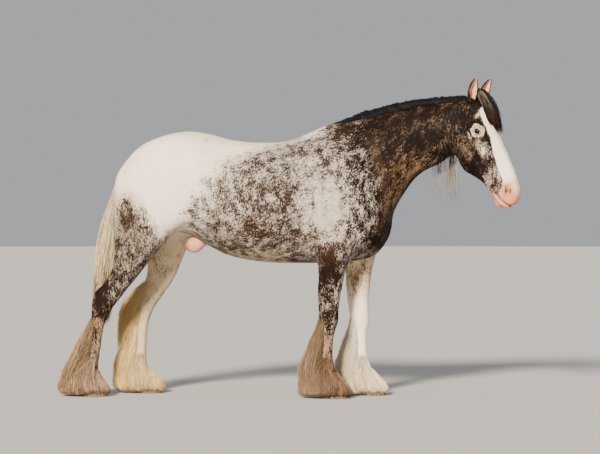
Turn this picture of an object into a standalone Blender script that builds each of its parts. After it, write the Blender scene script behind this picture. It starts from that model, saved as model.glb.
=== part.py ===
"""A life-size appaloosa cob with feathered legs, standing still, its head turned to its right.

Metres, +Z up. The horse faces +X, its right side faces -Y, and its hooves stand on z = 0.
The flesh is lofted in clay, joined by a voxel remesh, smoothed and sculpted with strokes. Flat
cuts then part it into the animal's named parts.
"""

import math
import random

import bmesh
import bpy
import numpy as np
from mathutils import Matrix, Vector
from mathutils.bvhtree import BVHTree

GAP = 0.0003
RING_SIDES = 32
SIDES = {"right": -1.0, "left": 1.0}

# The grain of the clay, and how many triangles the body and the head keep.
CLAY_GRAIN = 0.010
BODY_TRIANGLES = 4800
HEAD_TRIANGLES = 3100

# Trunk sections: x, height of the back, height of the belly, half width,
# level of the widest place from 0 at the belly to 1 at the back, and how sharp the back is.
TRUNK = (
    (-0.985, 1.235, 1.110, 0.055, 0.50, 1.0),
    (-0.955, 1.290, 1.050, 0.115, 0.50, 1.0),
    (-0.900, 1.352, 1.000, 0.178, 0.52, 1.0),
    (-0.800, 1.428, 0.960, 0.245, 0.55, 1.0),
    (-0.680, 1.480, 0.925, 0.285, 0.58, 1.0),
    (-0.550, 1.498, 0.900, 0.302, 0.60, 1.0),
    (-0.450, 1.482, 0.836, 0.312, 0.58, 1.0),
    (-0.350, 1.450, 0.786, 0.322, 0.52, 0.95),
    (-0.220, 1.428, 0.756, 0.330, 0.48, 0.95),
    (-0.080, 1.424, 0.744, 0.330, 0.47, 0.95),
    (0.020, 1.438, 0.742, 0.320, 0.46, 1.05),
    (0.110, 1.482, 0.742, 0.300, 0.44, 1.25),
    (0.200, 1.528, 0.742, 0.280, 0.42, 1.40),
    (0.290, 1.548, 0.745, 0.265, 0.40, 1.35),
    (0.390, 1.500, 0.755, 0.250, 0.40, 1.15),
    (0.480, 1.390, 0.775, 0.225, 0.42, 1.0),
    (0.540, 1.270, 0.830, 0.185, 0.45, 1.0),
    (0.580, 1.140, 0.920, 0.120, 0.50, 1.0),
)

# Neck sections: x and z of the crest, x and z of the throat side, half width, sideways place.
NECK = (
    (0.200, 1.500, 0.480, 0.900, 0.215, 0.000),
    (0.330, 1.550, 0.568, 0.960, 0.190, 0.000),
    (0.450, 1.590, 0.622, 1.060, 0.160, 0.000),
    (0.570, 1.622, 0.668, 1.150, 0.136, -0.002),
    (0.690, 1.646, 0.722, 1.220, 0.118, -0.005),
    (0.800, 1.660, 0.785, 1.263, 0.105, -0.009),
    (0.890, 1.666, 0.850, 1.285, 0.096, -0.013),
    (0.970, 1.668, 0.905, 1.330, 0.088, -0.017),
    (1.040, 1.664, 0.960, 1.390, 0.078, -0.020),
)

# The head's own space: a pivot at the top of the neck, the start of the face line at the poll,
# how far the face line leans from the vertical, and how far the head turns to the right.
HEAD_PIVOT = Vector((1.040, -0.020, 1.600))
FACE_START = Vector((1.086, 1.678))
FACE_LEAN = math.radians(26.5)
HEAD_TURN = math.radians(24.0)
# Head sections: distance down the face line, depth of the front and of the jaw side behind that
# line, then half widths at the bridge, the middle and the jaw.
HEAD = (
    (-0.030, 0.050, 0.150, 0.030, 0.055, 0.030),
    (-0.010, 0.018, 0.185, 0.045, 0.072, 0.050),
    (0.030, 0.002, 0.205, 0.062, 0.084, 0.062),
    (0.080, -0.005, 0.215, 0.075, 0.092, 0.070),
    (0.130, -0.006, 0.228, 0.082, 0.098, 0.074),
    (0.180, -0.005, 0.250, 0.080, 0.100, 0.074),
    (0.230, -0.002, 0.275, 0.068, 0.096, 0.072),
    (0.280, 0.000, 0.287, 0.056, 0.088, 0.068),
    (0.330, 0.000, 0.278, 0.050, 0.077, 0.060),
    (0.380, 0.000, 0.240, 0.046, 0.066, 0.050),
    (0.430, 0.000, 0.208, 0.043, 0.058, 0.042),
    (0.480, 0.000, 0.190, 0.042, 0.054, 0.040),
    (0.530, 0.002, 0.180, 0.044, 0.058, 0.040),
    (0.570, 0.012, 0.176, 0.044, 0.060, 0.040),
    (0.600, 0.028, 0.168, 0.040, 0.055, 0.038),
    (0.622, 0.048, 0.150, 0.031, 0.045, 0.031),
    (0.636, 0.068, 0.124, 0.016, 0.028, 0.018),
)

# Foreleg sections of the right leg: height, x of the front, x of the back, half width, and the
# distance of its middle from the plane down the middle of the horse.
FORELEG = (
    (1.080, 0.470, 0.160, 0.100, 0.150),
    (0.960, 0.440, 0.172, 0.094, 0.158),
    (0.880, 0.408, 0.176, 0.088, 0.160),
    (0.811, 0.382, 0.177, 0.080, 0.158),
    (0.756, 0.366, 0.180, 0.072, 0.156),
    (0.712, 0.350, 0.183, 0.065, 0.154),
    (0.656, 0.335, 0.184, 0.059, 0.152),
    (0.600, 0.324, 0.182, 0.054, 0.150),
    (0.545, 0.313, 0.182, 0.049, 0.149),
    (0.500, 0.308, 0.184, 0.047, 0.148),
    (0.457, 0.305, 0.184, 0.051, 0.147),
    (0.413, 0.299, 0.190, 0.050, 0.146),
    (0.368, 0.284, 0.196, 0.041, 0.145),
    (0.296, 0.274, 0.197, 0.035, 0.144),
    (0.230, 0.271, 0.190, 0.036, 0.143),
    (0.185, 0.279, 0.175, 0.043, 0.142),
    (0.152, 0.289, 0.180, 0.043, 0.141),
    (0.119, 0.304, 0.196, 0.044, 0.140),
    (0.070, 0.322, 0.210, 0.050, 0.140),
)
# Hind leg sections of the right leg, in the same terms.
HINDLEG = (
    (1.330, -0.600, -0.880, 0.110, 0.165),
    (1.240, -0.530, -0.935, 0.125, 0.165),
    (1.150, -0.500, -0.962, 0.130, 0.165),
    (1.044, -0.515, -0.979, 0.122, 0.165),
    (0.960, -0.560, -0.979, 0.108, 0.165),
    (0.904, -0.625, -0.974, 0.096, 0.165),
    (0.848, -0.675, -0.970, 0.086, 0.165),
    (0.792, -0.723, -0.970, 0.076, 0.165),
    (0.736, -0.768, -0.978, 0.066, 0.165),
    (0.680, -0.815, -0.998, 0.057, 0.165),
    (0.624, -0.862, -1.034, 0.049, 0.165),
    (0.585, -0.896, -1.076, 0.047, 0.165),
    (0.540, -0.930, -1.093, 0.048, 0.164),
    (0.495, -0.968, -1.098, 0.047, 0.163),
    (0.450, -0.994, -1.099, 0.043, 0.162),
    (0.399, -1.015, -1.101, 0.038, 0.161),
    (0.343, -1.026, -1.106, 0.035, 0.160),
    (0.259, -1.038, -1.116, 0.035, 0.159),
    (0.190, -1.050, -1.138, 0.044, 0.158),
    (0.152, -1.052, -1.144, 0.044, 0.157),
    (0.115, -1.050, -1.146, 0.044, 0.156),
    (0.070, -1.044, -1.152, 0.050, 0.156),
)
# How far each left leg stands ahead of its pair, at its top and at the floor.
LEAD = {
    "foreleg": ((1.00, 0.090), (0.56, 0.124), (0.40, 0.145), (0.10, 0.175)),
    "hindleg": ((1.15, 0.020), (0.95, 0.050), (0.80, 0.105), (0.65, 0.165), (0.45, 0.183), (0.20, 0.205), (0.07, 0.252)),
}

# Muscle masses on each side: place, radii, and how far each leans forward at its foot.
MUSCLES = (
    ("shoulder blade", (0.370, 0.128, 1.240), (0.095, 0.070, 0.210), 24.0),
    ("triceps", (0.265, 0.178, 1.060), (0.160, 0.088, 0.125), 20.0),
    ("point of the shoulder", (0.470, 0.125, 1.050), (0.095, 0.088, 0.120), 0.0),
    ("breast", (0.505, 0.075, 0.960), (0.080, 0.080, 0.125), 0.0),
    ("croup", (-0.670, 0.130, 1.350), (0.240, 0.120, 0.115), 15.0),
    ("buttock", (-0.860, 0.140, 1.160), (0.115, 0.105, 0.170), 0.0),
    ("thigh", (-0.720, 0.185, 1.120), (0.190, 0.090, 0.200), 0.0),
)

# Strokes that raise (or, below zero, sink) the surface of each side along a path through
# places on it: name, path, reach, height. The body's are x, out from the middle, z.
BODY_STROKES = (
    ("front edge of the shoulder", ((0.41, 0.15, 1.50), (0.50, 0.17, 1.32), (0.58, 0.14, 1.16)), 0.050, -0.012),
    ("groove along the throat", ((0.63, 0.11, 1.20), (0.76, 0.09, 1.32), (0.90, 0.08, 1.40)), 0.040, -0.009),
    ("back edge of the shoulder", ((0.13, 0.25, 1.30), (0.10, 0.29, 1.12), (0.16, 0.26, 0.95)), 0.055, -0.013),
    ("blade ridge", ((0.27, 0.14, 1.42), (0.41, 0.20, 1.20)), 0.035, 0.007),
    ("elbow", ((0.185, 0.22, 0.94),), 0.050, 0.012),
    ("flank hollow", ((-0.40, 0.30, 1.17),), 0.130, -0.014),
    ("point of the hip", ((-0.455, 0.28, 1.36),), 0.070, 0.016),
    ("loin edge", ((-0.40, 0.17, 1.43), (-0.10, 0.16, 1.40)), 0.060, 0.006),
    ("fold of the flank", ((-0.47, 0.27, 1.06), (-0.45, 0.24, 0.90)), 0.045, -0.012),
    ("stifle", ((-0.565, 0.25, 0.985),), 0.070, 0.014),
    ("groove down the thigh", ((-0.885, 0.17, 1.27), (-0.865, 0.25, 1.10), (-0.885, 0.23, 0.95)), 0.035, -0.010),
    ("thigh over the gaskin", ((-0.70, 0.27, 0.93), (-0.84, 0.25, 0.86)), 0.050, -0.008),
    ("gaskin muscle", ((-0.74, 0.25, 0.84), (-0.82, 0.23, 0.76)), 0.050, 0.009),
    ("string of the hock", ((-0.945, 0.20, 0.80), (-1.00, 0.19, 0.68)), 0.022, -0.010),
    ("groove along the spine", ((-0.92, 0.0, 1.36), (-0.60, 0.0, 1.50), (-0.20, 0.0, 1.43)), 0.030, -0.007),
    ("groove down the breast", ((0.60, 0.0, 1.14), (0.60, 0.0, 1.00), (0.52, 0.0, 0.84)), 0.045, -0.012),
    ("forearm muscle", ((0.33, 0.23, 0.86), (0.32, 0.20, 0.70)), 0.050, 0.008),
)
# The legs' strokes are height, how far from back (0) to front (1), and which face: 1 is the
# outer side, -1 the inner side, 0 the front or the back.
LEG_STROKES = {
    "foreleg": (
        ("knee", ((0.44, 0.95, 0), (0.40, 0.95, 0)), 0.035, 0.005),
        ("bone behind the knee", ((0.43, 0.02, 0),), 0.022, 0.006),
        ("tendon groove", ((0.37, 0.42, 1), (0.21, 0.42, 1)), 0.014, -0.006),
        ("inner tendon groove", ((0.37, 0.42, -1), (0.21, 0.42, -1)), 0.014, -0.006),
        ("knee side", ((0.43, 0.60, 1), (0.43, 0.60, 1)), 0.030, 0.004),
        ("fetlock", ((0.170, 0.45, 1),), 0.030, 0.004),
    ),
    "hindleg": (
        ("point of the hock", ((0.60, 0.03, 0),), 0.030, 0.008),
        ("hock hollow", ((0.57, 0.40, 1), (0.62, 0.45, 1)), 0.022, -0.008),
        ("inner hock hollow", ((0.57, 0.40, -1), (0.62, 0.45, -1)), 0.022, -0.008),
        ("hock bone", ((0.50, 0.60, 1),), 0.030, 0.005),
        ("tendon groove", ((0.42, 0.42, 1), (0.21, 0.42, 1)), 0.014, -0.006),
        ("inner tendon groove", ((0.42, 0.42, -1), (0.21, 0.42, -1)), 0.014, -0.006),
        ("fetlock", ((0.170, 0.45, 1),), 0.030, 0.004),
    ),
}
# The head's are in its own space: along the face line, behind it, out from the middle.
HEAD_STROKES = (
    ("socket of the eye", ((0.185, 0.064, 0.095),), 0.066, 0.012),
    ("opening of the eye", ((0.207, 0.046, 0.100), (0.167, 0.078, 0.100)), 0.022, -0.015),
    ("brow", ((0.145, 0.050, 0.090), (0.195, 0.030, 0.090)), 0.030, 0.008),
    ("hollow over the eye", ((0.122, 0.072, 0.090),), 0.028, -0.006),
    ("cheek", ((0.205, 0.190, 0.080), (0.255, 0.200, 0.078)), 0.085, 0.012),
    ("crest of the face", ((0.225, 0.118, 0.098), (0.290, 0.108, 0.086), (0.360, 0.096, 0.070)), 0.026, 0.006),
    ("hollow under the crest", ((0.280, 0.150, 0.080), (0.430, 0.120, 0.055)), 0.045, -0.007),
    ("hollow beside the nose", ((0.250, 0.060, 0.075), (0.460, 0.045, 0.052)), 0.036, -0.005),
    ("nose bone", ((0.250, 0.000, 0.020), (0.470, 0.000, 0.020)), 0.022, 0.004),
    ("forehead", ((0.110, -0.005, 0.0),), 0.060, 0.006),
    ("outer wing of the nostril", ((0.535, 0.038, 0.056), (0.552, 0.078, 0.058), (0.580, 0.080, 0.055)), 0.015, 0.008),
    ("inner wing of the nostril", ((0.540, 0.030, 0.050), (0.580, 0.040, 0.050)), 0.012, 0.006),
    ("nostril", ((0.548, 0.050, 0.058), (0.566, 0.062, 0.058), (0.578, 0.062, 0.056)), 0.0125, -0.024),
    ("line of the mouth", ((0.488, 0.150, 0.046), (0.540, 0.138, 0.046), (0.600, 0.117, 0.040),
                           (0.640, 0.100, 0.018), (0.648, 0.098, 0.0)), 0.011, -0.009),
    ("upper lip", ((0.530, 0.120, 0.052), (0.590, 0.098, 0.046), (0.632, 0.080, 0.022)), 0.018, 0.004),
    ("lower lip", ((0.530, 0.158, 0.042), (0.595, 0.138, 0.038), (0.632, 0.118, 0.016)), 0.017, 0.005),
    ("chin", ((0.585, 0.168, 0.0),), 0.040, 0.010),
    ("groove behind the chin", ((0.520, 0.184, 0.0),), 0.032, -0.008),
)

# Places in the head's own space: the middle of the eye, of the nostril, a corner of the mouth.
EYE = (0.187, 0.062, 0.102)
NOSTRIL = (0.562, 0.060, 0.058)
MOUTH_CORNER = (0.490, 0.150, 0.045)
EYE_RADIUS = 0.025
# How much of the eye's radius lies inside the line of the head, and its opening.
EYE_SUNK = 1.00
EYE_OPENING = 0.050
EYE_SLANT = math.radians(38.0)
UPPER_LID = 0.015
LOWER_LID = -0.013
LID_THICKNESS = 0.0042

# The ear: base and tip in the head's space, then sections of share of the height, half width,
# and how far each side of the opening stands from the front.
EAR_BASE = (0.006, 0.030, 0.060)
EAR_TIP = (-0.080, -0.060, 0.086)
EAR_FACING = 0.55
EAR_WALL = 0.005
EAR_BOW = -0.010
EAR = (
    (-0.16, 0.024, 0.35),
    (0.08, 0.027, 0.58),
    (0.26, 0.028, 0.90),
    (0.46, 0.026, 1.08),
    (0.68, 0.020, 1.10),
    (0.88, 0.010, 1.05),
    (1.00, 0.003, 1.00),
)

# The hooves: length and width at the floor and at the coronet, which rises to the toe.
HOOF_LENGTH = 0.158
HOOF_WIDTH = 0.146
CORONET_LENGTH = 0.132
CORONET_WIDTH = 0.122
HOOF_AHEAD = 0.022
CORONET_HEIGHT = 0.078
CORONET_TILT = math.radians(16.0)

SHEATH_PLACE = (-0.515, 0.000, 0.858)
SHEATH_RADII = (0.078, 0.044, 0.052)
SHEATH_LEAN = 18.0

# Tail sections: x, y, z, half its depth from back to front, half its width.
TAIL = (
    (-0.900, 0.000, 1.330, 0.030, 0.030),
    (-0.944, 0.002, 1.270, 0.030, 0.038),
    (-0.968, 0.004, 1.180, 0.034, 0.052),
    (-0.990, 0.008, 1.070, 0.046, 0.064),
    (-1.020, 0.010, 0.950, 0.060, 0.074),
    (-1.038, 0.012, 0.820, 0.062, 0.076),
    (-1.052, 0.014, 0.700, 0.062, 0.072),
    (-1.062, 0.016, 0.560, 0.058, 0.062),
    (-1.074, 0.018, 0.420, 0.045, 0.045),
    (-1.084, 0.020, 0.300, 0.020, 0.020),
)

# A lock's width at places from its root (0) to its tip (1), as shares of its widest.
LOCK_PLACES = (0.0, 0.25, 0.50, 0.75, 1.0)
LOCK_WIDTHS = (0.65, 1.00, 0.92, 0.58, 0.0)
# The mane: how many locks, where they start and end between withers and poll, how far each
# step of a lock stands off the neck, and long wisps as share along the neck and tip height.
MANE_LOCKS = 12
MANE_START = 0.13
MANE_END = 0.97
MANE_LIFTS = (-0.016, 0.013, 0.022, 0.020, 0.012)
MANE_WIDTH = 0.118
MANE_THICKNESS = 0.018
MANE_WISPS = ((0.72, 1.09), (0.83, 1.04))
# The forelock: how many locks, how far they reach, and how far each step lies in front of the
# face line (below zero, behind it).
FORELOCK_LOCKS = 5
FORELOCK_REACH = 0.275
FORELOCK_LIFTS = (-0.045, 0.016, 0.036, 0.036, 0.014)
# The dock ends at half the tail's length. Tail locks leave it and spread to these shares.
DOCK_HEIGHTS = (1.330, 1.270, 1.180, 1.070, 0.950, 0.840)
DOCK_SHARE = 0.50
TAIL_LOCKS = 8
TAIL_SPREAD = (0.25, 0.72, 0.92, 0.90, 0.55)
# The feather: height, how far it stands ahead of and behind the leg, half its width.
FEATHER = (
    (0.440, -0.060, 0.025, 0.030),
    (0.370, -0.030, 0.056, 0.046),
    (0.300, -0.006, 0.078, 0.058),
    (0.230, 0.004, 0.098, 0.070),
    (0.160, 0.006, 0.122, 0.082),
    (0.100, 0.010, 0.146, 0.090),
    (0.050, 0.014, 0.148, 0.092),
    (0.014, 0.010, 0.124, 0.086),
)

# Tiers of its locks: name, how many, how far round from the back, highest and lowest root,
# length and width. Then how far a lock spreads at each ring, and its clearance of the floor.
FEATHER_TIERS = (
    ("back of the cannon", 5, 55.0, 0.385, 0.330, 0.290, 0.104),
    ("fetlock", 3, 100.0, 0.200, 0.160, 0.165, 0.116),
    ("coronet", 2, 105.0, 0.110, 0.100, 0.095, 0.116),
)
FEATHER_SPREAD = (0.0, 0.58, 0.88, 1.02, 1.06)
FEATHER_ROOT = 0.45
FEATHER_REACHES = (1.0, 0.76)
# The thick of the feather: its heights, how far out each lies, and how much it is drawn in.
FEATHER_CORE = (
    (0.380, 0.0, 0.30),
    (0.310, 0.30, 0.0),
    (0.230, 0.50, 0.0),
    (0.150, 0.50, 0.0),
    (0.100, 0.50, 0.0),
    (0.055, 0.42, 0.0),
)
FEATHER_CLEARANCE = 0.012
FEATHER_THICKNESS = 0.022
LEG_SEEDS = {"foreleg": 20, "hindleg": 30}

# Where the body is parted. Planes are a place and the way across them.
HEAD_CUT = (0.020, 0.200, 0.0)
HEAD_CUT_WAY = (0.62, -0.78, 0.0)
HEAD_MARGIN = 0.03
NECK_CUT = (0.440, 0.0, 1.330)
NECK_CUT_WAY = (0.84, 0.0, 0.55)
LEG_INNER = {"foreleg": 0.045, "hindleg": 0.012}
LEG_PARTS = {
    "foreleg": ("forearm", "cannon"),
    "hindleg": ("thigh", "gaskin", "cannon"),
}
LEG_CUTS = {"foreleg": (0.455,), "hindleg": (0.800, 0.480)}


def blend(low, high, amount):
    return low + (high - low) * amount


def oval_point(high, low, half_width, turn, widest=0.5, sharp_high=1.0, sharp_low=1.0):
    """A point on an oval between two ends of its long axis, as wide as Y.

    turn is 90 degrees at the high end and 0 on the left. widest places the broadest level
    between low (0) and high (1). A sharpness over 1 draws that end to a ridge, and one under
    1 makes it blunt.
    """
    up = math.sin(turn)
    side = math.cos(turn)
    if up >= 0.0:
        level = widest + (1.0 - widest) * up
        sharpness = sharp_high
    else:
        level = widest * (1.0 + up)
        sharpness = sharp_low
    out = math.copysign(abs(side) ** sharpness, side)
    return low + (high - low) * level + Vector((0.0, half_width * out, 0.0))


def section(high, low, half_width, widest=0.5, sharp_high=1.0, sharp_low=1.0):
    """A ring of points round such an oval."""
    return [
        oval_point(high, low, half_width, 2.0 * math.pi * number / RING_SIDES, widest, sharp_high, sharp_low)
        for number in range(RING_SIDES)
    ]


def add_object(name, bm):
    mesh = bpy.data.meshes.new(name)
    bmesh.ops.recalc_face_normals(bm, faces=bm.faces)
    bm.to_mesh(mesh)
    bm.free()
    obj = bpy.data.objects.new(name, mesh)
    bpy.context.scene.collection.objects.link(obj)
    return obj


def loft(name, rings):
    """A closed skin over rings of equally many points, with a flat cap on each end."""
    bm = bmesh.new()
    made = [[bm.verts.new(point) for point in ring] for ring in rings]
    for ring, following in zip(made, made[1:]):
        for number in range(len(ring)):
            after = (number + 1) % len(ring)
            bm.faces.new((ring[number], ring[after], following[after], following[number]))
    bm.faces.new(list(reversed(made[0])))
    bm.faces.new(made[-1])
    return add_object(name, bm)


def ball(name, place, radii, lean=0.0, fineness=(24, 16)):
    """An egg shape, leant about the Y axis so that its foot moves forward."""
    bm = bmesh.new()
    around, across = fineness
    bmesh.ops.create_uvsphere(bm, u_segments=around, v_segments=across, radius=1.0)
    size = Matrix.Diagonal((*radii, 1.0))
    turn = Matrix.Rotation(math.radians(-lean), 4, "Y")
    bmesh.ops.transform(bm, matrix=Matrix.Translation(place) @ turn @ size, verts=bm.verts)
    return add_object(name, bm)


def head_point(along, depth, side):
    """A point in the head's own space: down the face line, behind it, and to the horse's left."""
    down = Vector((math.sin(FACE_LEAN), -math.cos(FACE_LEAN)))
    back = Vector((-math.cos(FACE_LEAN), -math.sin(FACE_LEAN)))
    flat = FACE_START + down * along + back * depth
    ahead = flat.x - HEAD_PIVOT.x
    return Vector((
        HEAD_PIVOT.x + ahead * math.cos(HEAD_TURN) + side * math.sin(HEAD_TURN),
        HEAD_PIVOT.y - ahead * math.sin(HEAD_TURN) + side * math.cos(HEAD_TURN),
        flat.y,
    ))


def head_ring(along, front, jaw_side, bridge, middle, jaw):
    """Half widths follow a curve from bridge through middle to jaw, drawn in at both ends."""
    ring = []
    control = 2.0 * middle - (bridge + jaw) / 2.0
    for number in range(RING_SIDES):
        turn = 2.0 * math.pi * number / RING_SIDES
        depth = blend(front, jaw_side, (1.0 - math.cos(turn)) / 2.0)
        share = min(turn, 2.0 * math.pi - turn) / math.pi
        width = bridge * (1 - share) ** 2 + control * 2 * share * (1 - share) + jaw * share**2
        width *= math.sin(math.pi * share) ** 0.62
        ring.append(head_point(along, depth, width if turn <= math.pi else -width))
    return ring


def leg_rows(leg):
    return FORELEG if leg == "foreleg" else HINDLEG


def lead_of(leg, side, height):
    """How far ahead of the right leg's place this leg stands at a height."""
    if side < 0.0:
        return 0.0
    heights = [row[0] for row in reversed(LEAD[leg])]
    leads = [row[1] for row in reversed(LEAD[leg])]
    return float(np.interp(height, heights, leads))


def leg_at(leg, side, height):
    """The front, the back, the half width and the middle's y of a leg at a height."""
    rows = leg_rows(leg)[::-1]
    heights = [row[0] for row in rows]
    front, back, half, out = (
        float(np.interp(height, heights, [row[column] for row in rows])) for column in (1, 2, 3, 4)
    )
    lead = lead_of(leg, side, height)
    return front + lead, back + lead, half, side * out


def leg_rings(leg, side):
    rings = []
    for row in leg_rows(leg):
        front, back, half, out = leg_at(leg, side, row[0])
        ahead = Vector((front, out, row[0]))
        behind = Vector((back, out, row[0]))
        rings.append(section(ahead, behind, half, 0.55, 0.95, 0.95))
    return rings


def neck_ring(crest_x, crest_z, throat_x, throat_z, half, out):
    crest = Vector((crest_x, out, crest_z))
    throat = Vector((throat_x, out, throat_z))
    return section(crest, throat, half, 0.42, 1.25)


def trunk_ring(x, top, bottom, half, widest, sharp):
    return section(Vector((x, 0.0, top)), Vector((x, 0.0, bottom)), half, widest, sharp)


def clay_pieces():
    pieces = [
        loft("trunk clay", [trunk_ring(*row) for row in TRUNK]),
        loft("neck clay", [neck_ring(*row) for row in NECK]),
        loft("head clay", [head_ring(*row) for row in HEAD]),
    ]
    for side in SIDES.values():
        for leg in LEAD:
            pieces.append(loft(leg, leg_rings(leg, side)))
        for name, (x, out, z), radii, lean in MUSCLES:
            pieces.append(ball(name, (x, side * out, z), radii, lean))
    return pieces


def gathered(name, pieces):
    """One object from several, each left as its own closed body."""
    bm = bmesh.new()
    for piece in pieces:
        bm.from_mesh(piece.data)
        bpy.data.objects.remove(piece)
    mesh = bpy.data.meshes.new(name)
    bm.to_mesh(mesh)
    bm.free()
    obj = bpy.data.objects.new(name, mesh)
    bpy.context.scene.collection.objects.link(obj)
    return obj


def apply_modifiers(obj):
    graph = bpy.context.evaluated_depsgraph_get()
    mesh = bpy.data.meshes.new_from_object(obj.evaluated_get(graph))
    obj.modifiers.clear()
    obj.data = mesh


def points_of(mesh):
    points = np.empty(len(mesh.vertices) * 3, np.float32)
    mesh.vertices.foreach_get("co", points)
    return points.reshape(-1, 3).astype(np.float64)


def normals_of(mesh):
    normals = np.empty(len(mesh.vertices) * 3, np.float32)
    mesh.vertices.foreach_get("normal", normals)
    return normals.reshape(-1, 3).astype(np.float64)


def set_points(mesh, points):
    mesh.vertices.foreach_set("co", points.astype(np.float32).ravel())
    mesh.update()


def smooth(mesh, rounds, weight):
    """Draws each vertex towards the mean of its neighbours, as far as its weight says."""
    points = points_of(mesh)
    total = len(points)
    edges = np.empty(len(mesh.edges) * 2, np.int32)
    mesh.edges.foreach_get("vertices", edges)
    one, other = edges.reshape(-1, 2).T
    count = np.bincount(one, minlength=total) + np.bincount(other, minlength=total)
    for _ in range(rounds):
        mean = np.empty_like(points)
        for axis in range(3):
            mean[:, axis] = np.bincount(one, points[other, axis], total)
            mean[:, axis] += np.bincount(other, points[one, axis], total)
        points += weight[:, None] * (mean / count[:, None] - points)
    set_points(mesh, points)


def smoothing_weight(points):
    """The trunk is smoothed in full, the lower legs and the head not at all."""
    leg = np.clip((points[:, 2] - 0.62) / 0.30, 0.0, 1.0)
    head = np.clip((1.02 - points[:, 0]) / 0.16, 0.0, 1.0)
    return 0.5 * np.minimum(leg, head)


def refine(mesh, places, reach):
    """Halves the grain of the faces within reach of any of the places."""
    bm = bmesh.new()
    bm.from_mesh(mesh)
    near = [
        edge for edge in bm.edges
        if any((edge.verts[0].co - place).length < reach for place in places)
    ]
    bmesh.ops.subdivide_edges(bm, edges=near, cuts=1, use_grid_fill=True)
    bmesh.ops.triangulate(bm, faces=[face for face in bm.faces if len(face.verts) > 4])
    bm.to_mesh(mesh)
    bm.free()
    mesh.update()


def path_on(tree, places):
    """Close points along a path through the places, each drawn onto the surface."""
    path = []
    for start, end in zip(places, places[1:] + places[-1:]):
        steps = max(1, round((end - start).length / 0.006))
        path += [start.lerp(end, step / steps) for step in range(steps)]
    path.append(places[-1])
    return np.array([tree.find_nearest(point)[0] for point in path])


def stroke(mesh, tree, places, reach, height):
    """Raises the surface by height * (1 - (d / reach)^2)^2, d off the path, less at its ends."""
    path = path_on(tree, places)
    points = points_of(mesh)
    low = path.min(axis=0) - reach
    high = path.max(axis=0) + reach
    near = np.flatnonzero(((points > low) & (points < high)).all(axis=1))
    apart = np.linalg.norm(points[near, None, :] - path[None, :, :], axis=2)
    fade = np.ones(len(path))
    if len(path) > 2:
        fade = np.sin(np.pi * (np.arange(len(path)) + 0.5) / len(path)) ** 0.5
    share = (np.clip(1.0 - (apart / reach) ** 2, 0.0, 1.0) ** 2 * fade).max(axis=1)
    points[near] += normals_of(mesh)[near] * (height * share)[:, None]
    set_points(mesh, points)


def tree_of(mesh):
    bm = bmesh.new()
    bm.from_mesh(mesh)
    tree = BVHTree.FromBMesh(bm)
    bm.free()
    return tree


def leg_place(leg, side, height, share, face):
    """A place on a leg at a height, share of the way from its back to its front."""
    front, back, half, out = leg_at(leg, side, height)
    return Vector((blend(back, front, share), out + side * face * half, height))


def body_strokes():
    """Every stroke of the trunk and legs, both sides, as places, reach and height."""
    strokes = []
    for side in SIDES.values():
        for _, path, reach, height in BODY_STROKES:
            strokes.append(([Vector((x, side * out, z)) for x, out, z in path], reach, height))
        for leg, rows in LEG_STROKES.items():
            for _, path, reach, height in rows:
                strokes.append(([leg_place(leg, side, *place) for place in path], reach, height))
    return strokes


def head_strokes():
    strokes = []
    for side in SIDES.values():
        for _, path, reach, height in HEAD_STROKES:
            strokes.append(([head_point(a, d, side * out) for a, d, out in path], reach, height))
    return strokes


def sculpt(mesh, strokes):
    tree = tree_of(mesh)
    for places, reach, height in strokes:
        stroke(mesh, tree, places, reach, height)


def make_flesh():
    """The whole body in one closed skin, its head still plain."""
    flesh = gathered("flesh", clay_pieces())
    remesh = flesh.modifiers.new("one body", "REMESH")
    remesh.mode = "VOXEL"
    remesh.voxel_size = CLAY_GRAIN
    apply_modifiers(flesh)
    mesh = flesh.data
    smooth(mesh, 40, smoothing_weight(points_of(mesh)))
    sculpt(mesh, body_strokes())
    smooth(mesh, 16, smoothing_weight(points_of(mesh)))
    smooth(mesh, 4, np.full(len(mesh.vertices), 0.5))
    return flesh


def detail_head(flesh):
    """Halves the grain of the head, and again round its features, and sculpts them."""
    mesh = flesh.data
    refine(mesh, [head_point(along, 0.12, 0.0) for along in (0.10, 0.25, 0.40, 0.55)], 0.17)
    smooth(mesh, 3, np.full(len(mesh.vertices), 0.4))
    details = [EYE, NOSTRIL, MOUTH_CORNER]
    refine(mesh, [head_point(a, d, side * out) for a, d, out in details for side in (-1, 1)], 0.05)
    refine(mesh, [head_point(0.625, 0.105, 0.0)], 0.06)
    sculpt(mesh, head_strokes())
    smooth(mesh, 2, np.full(len(mesh.vertices), 0.4))


def copy_of(obj, name):
    copy = bpy.data.objects.new(name, obj.data.copy())
    bpy.context.scene.collection.objects.link(copy)
    return copy


def fewer(obj, triangles):
    """Keeps about this many triangles."""
    modifier = obj.modifiers.new("fewer triangles", "DECIMATE")
    modifier.ratio = min(1.0, triangles / (2.0 * len(obj.data.polygons)))
    modifier.use_collapse_triangulate = True
    apply_modifiers(obj)


def largest_only(obj):
    """Removes every closed surface of the object but the one with the most area."""
    bm = bmesh.new()
    bm.from_mesh(obj.data)
    unseen = set(bm.faces)
    groups = []
    while unseen:
        front = [unseen.pop()]
        group = list(front)
        while front:
            for edge in front.pop().edges:
                for face in edge.link_faces:
                    if face in unseen:
                        unseen.remove(face)
                        front.append(face)
                        group.append(face)
        groups.append(group)
    groups.sort(key=lambda group: sum(face.calc_area() for face in group))
    for group in groups[:-1]:
        bmesh.ops.delete(bm, geom=group, context="FACES")
    bm.to_mesh(obj.data)
    bm.free()


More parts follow.
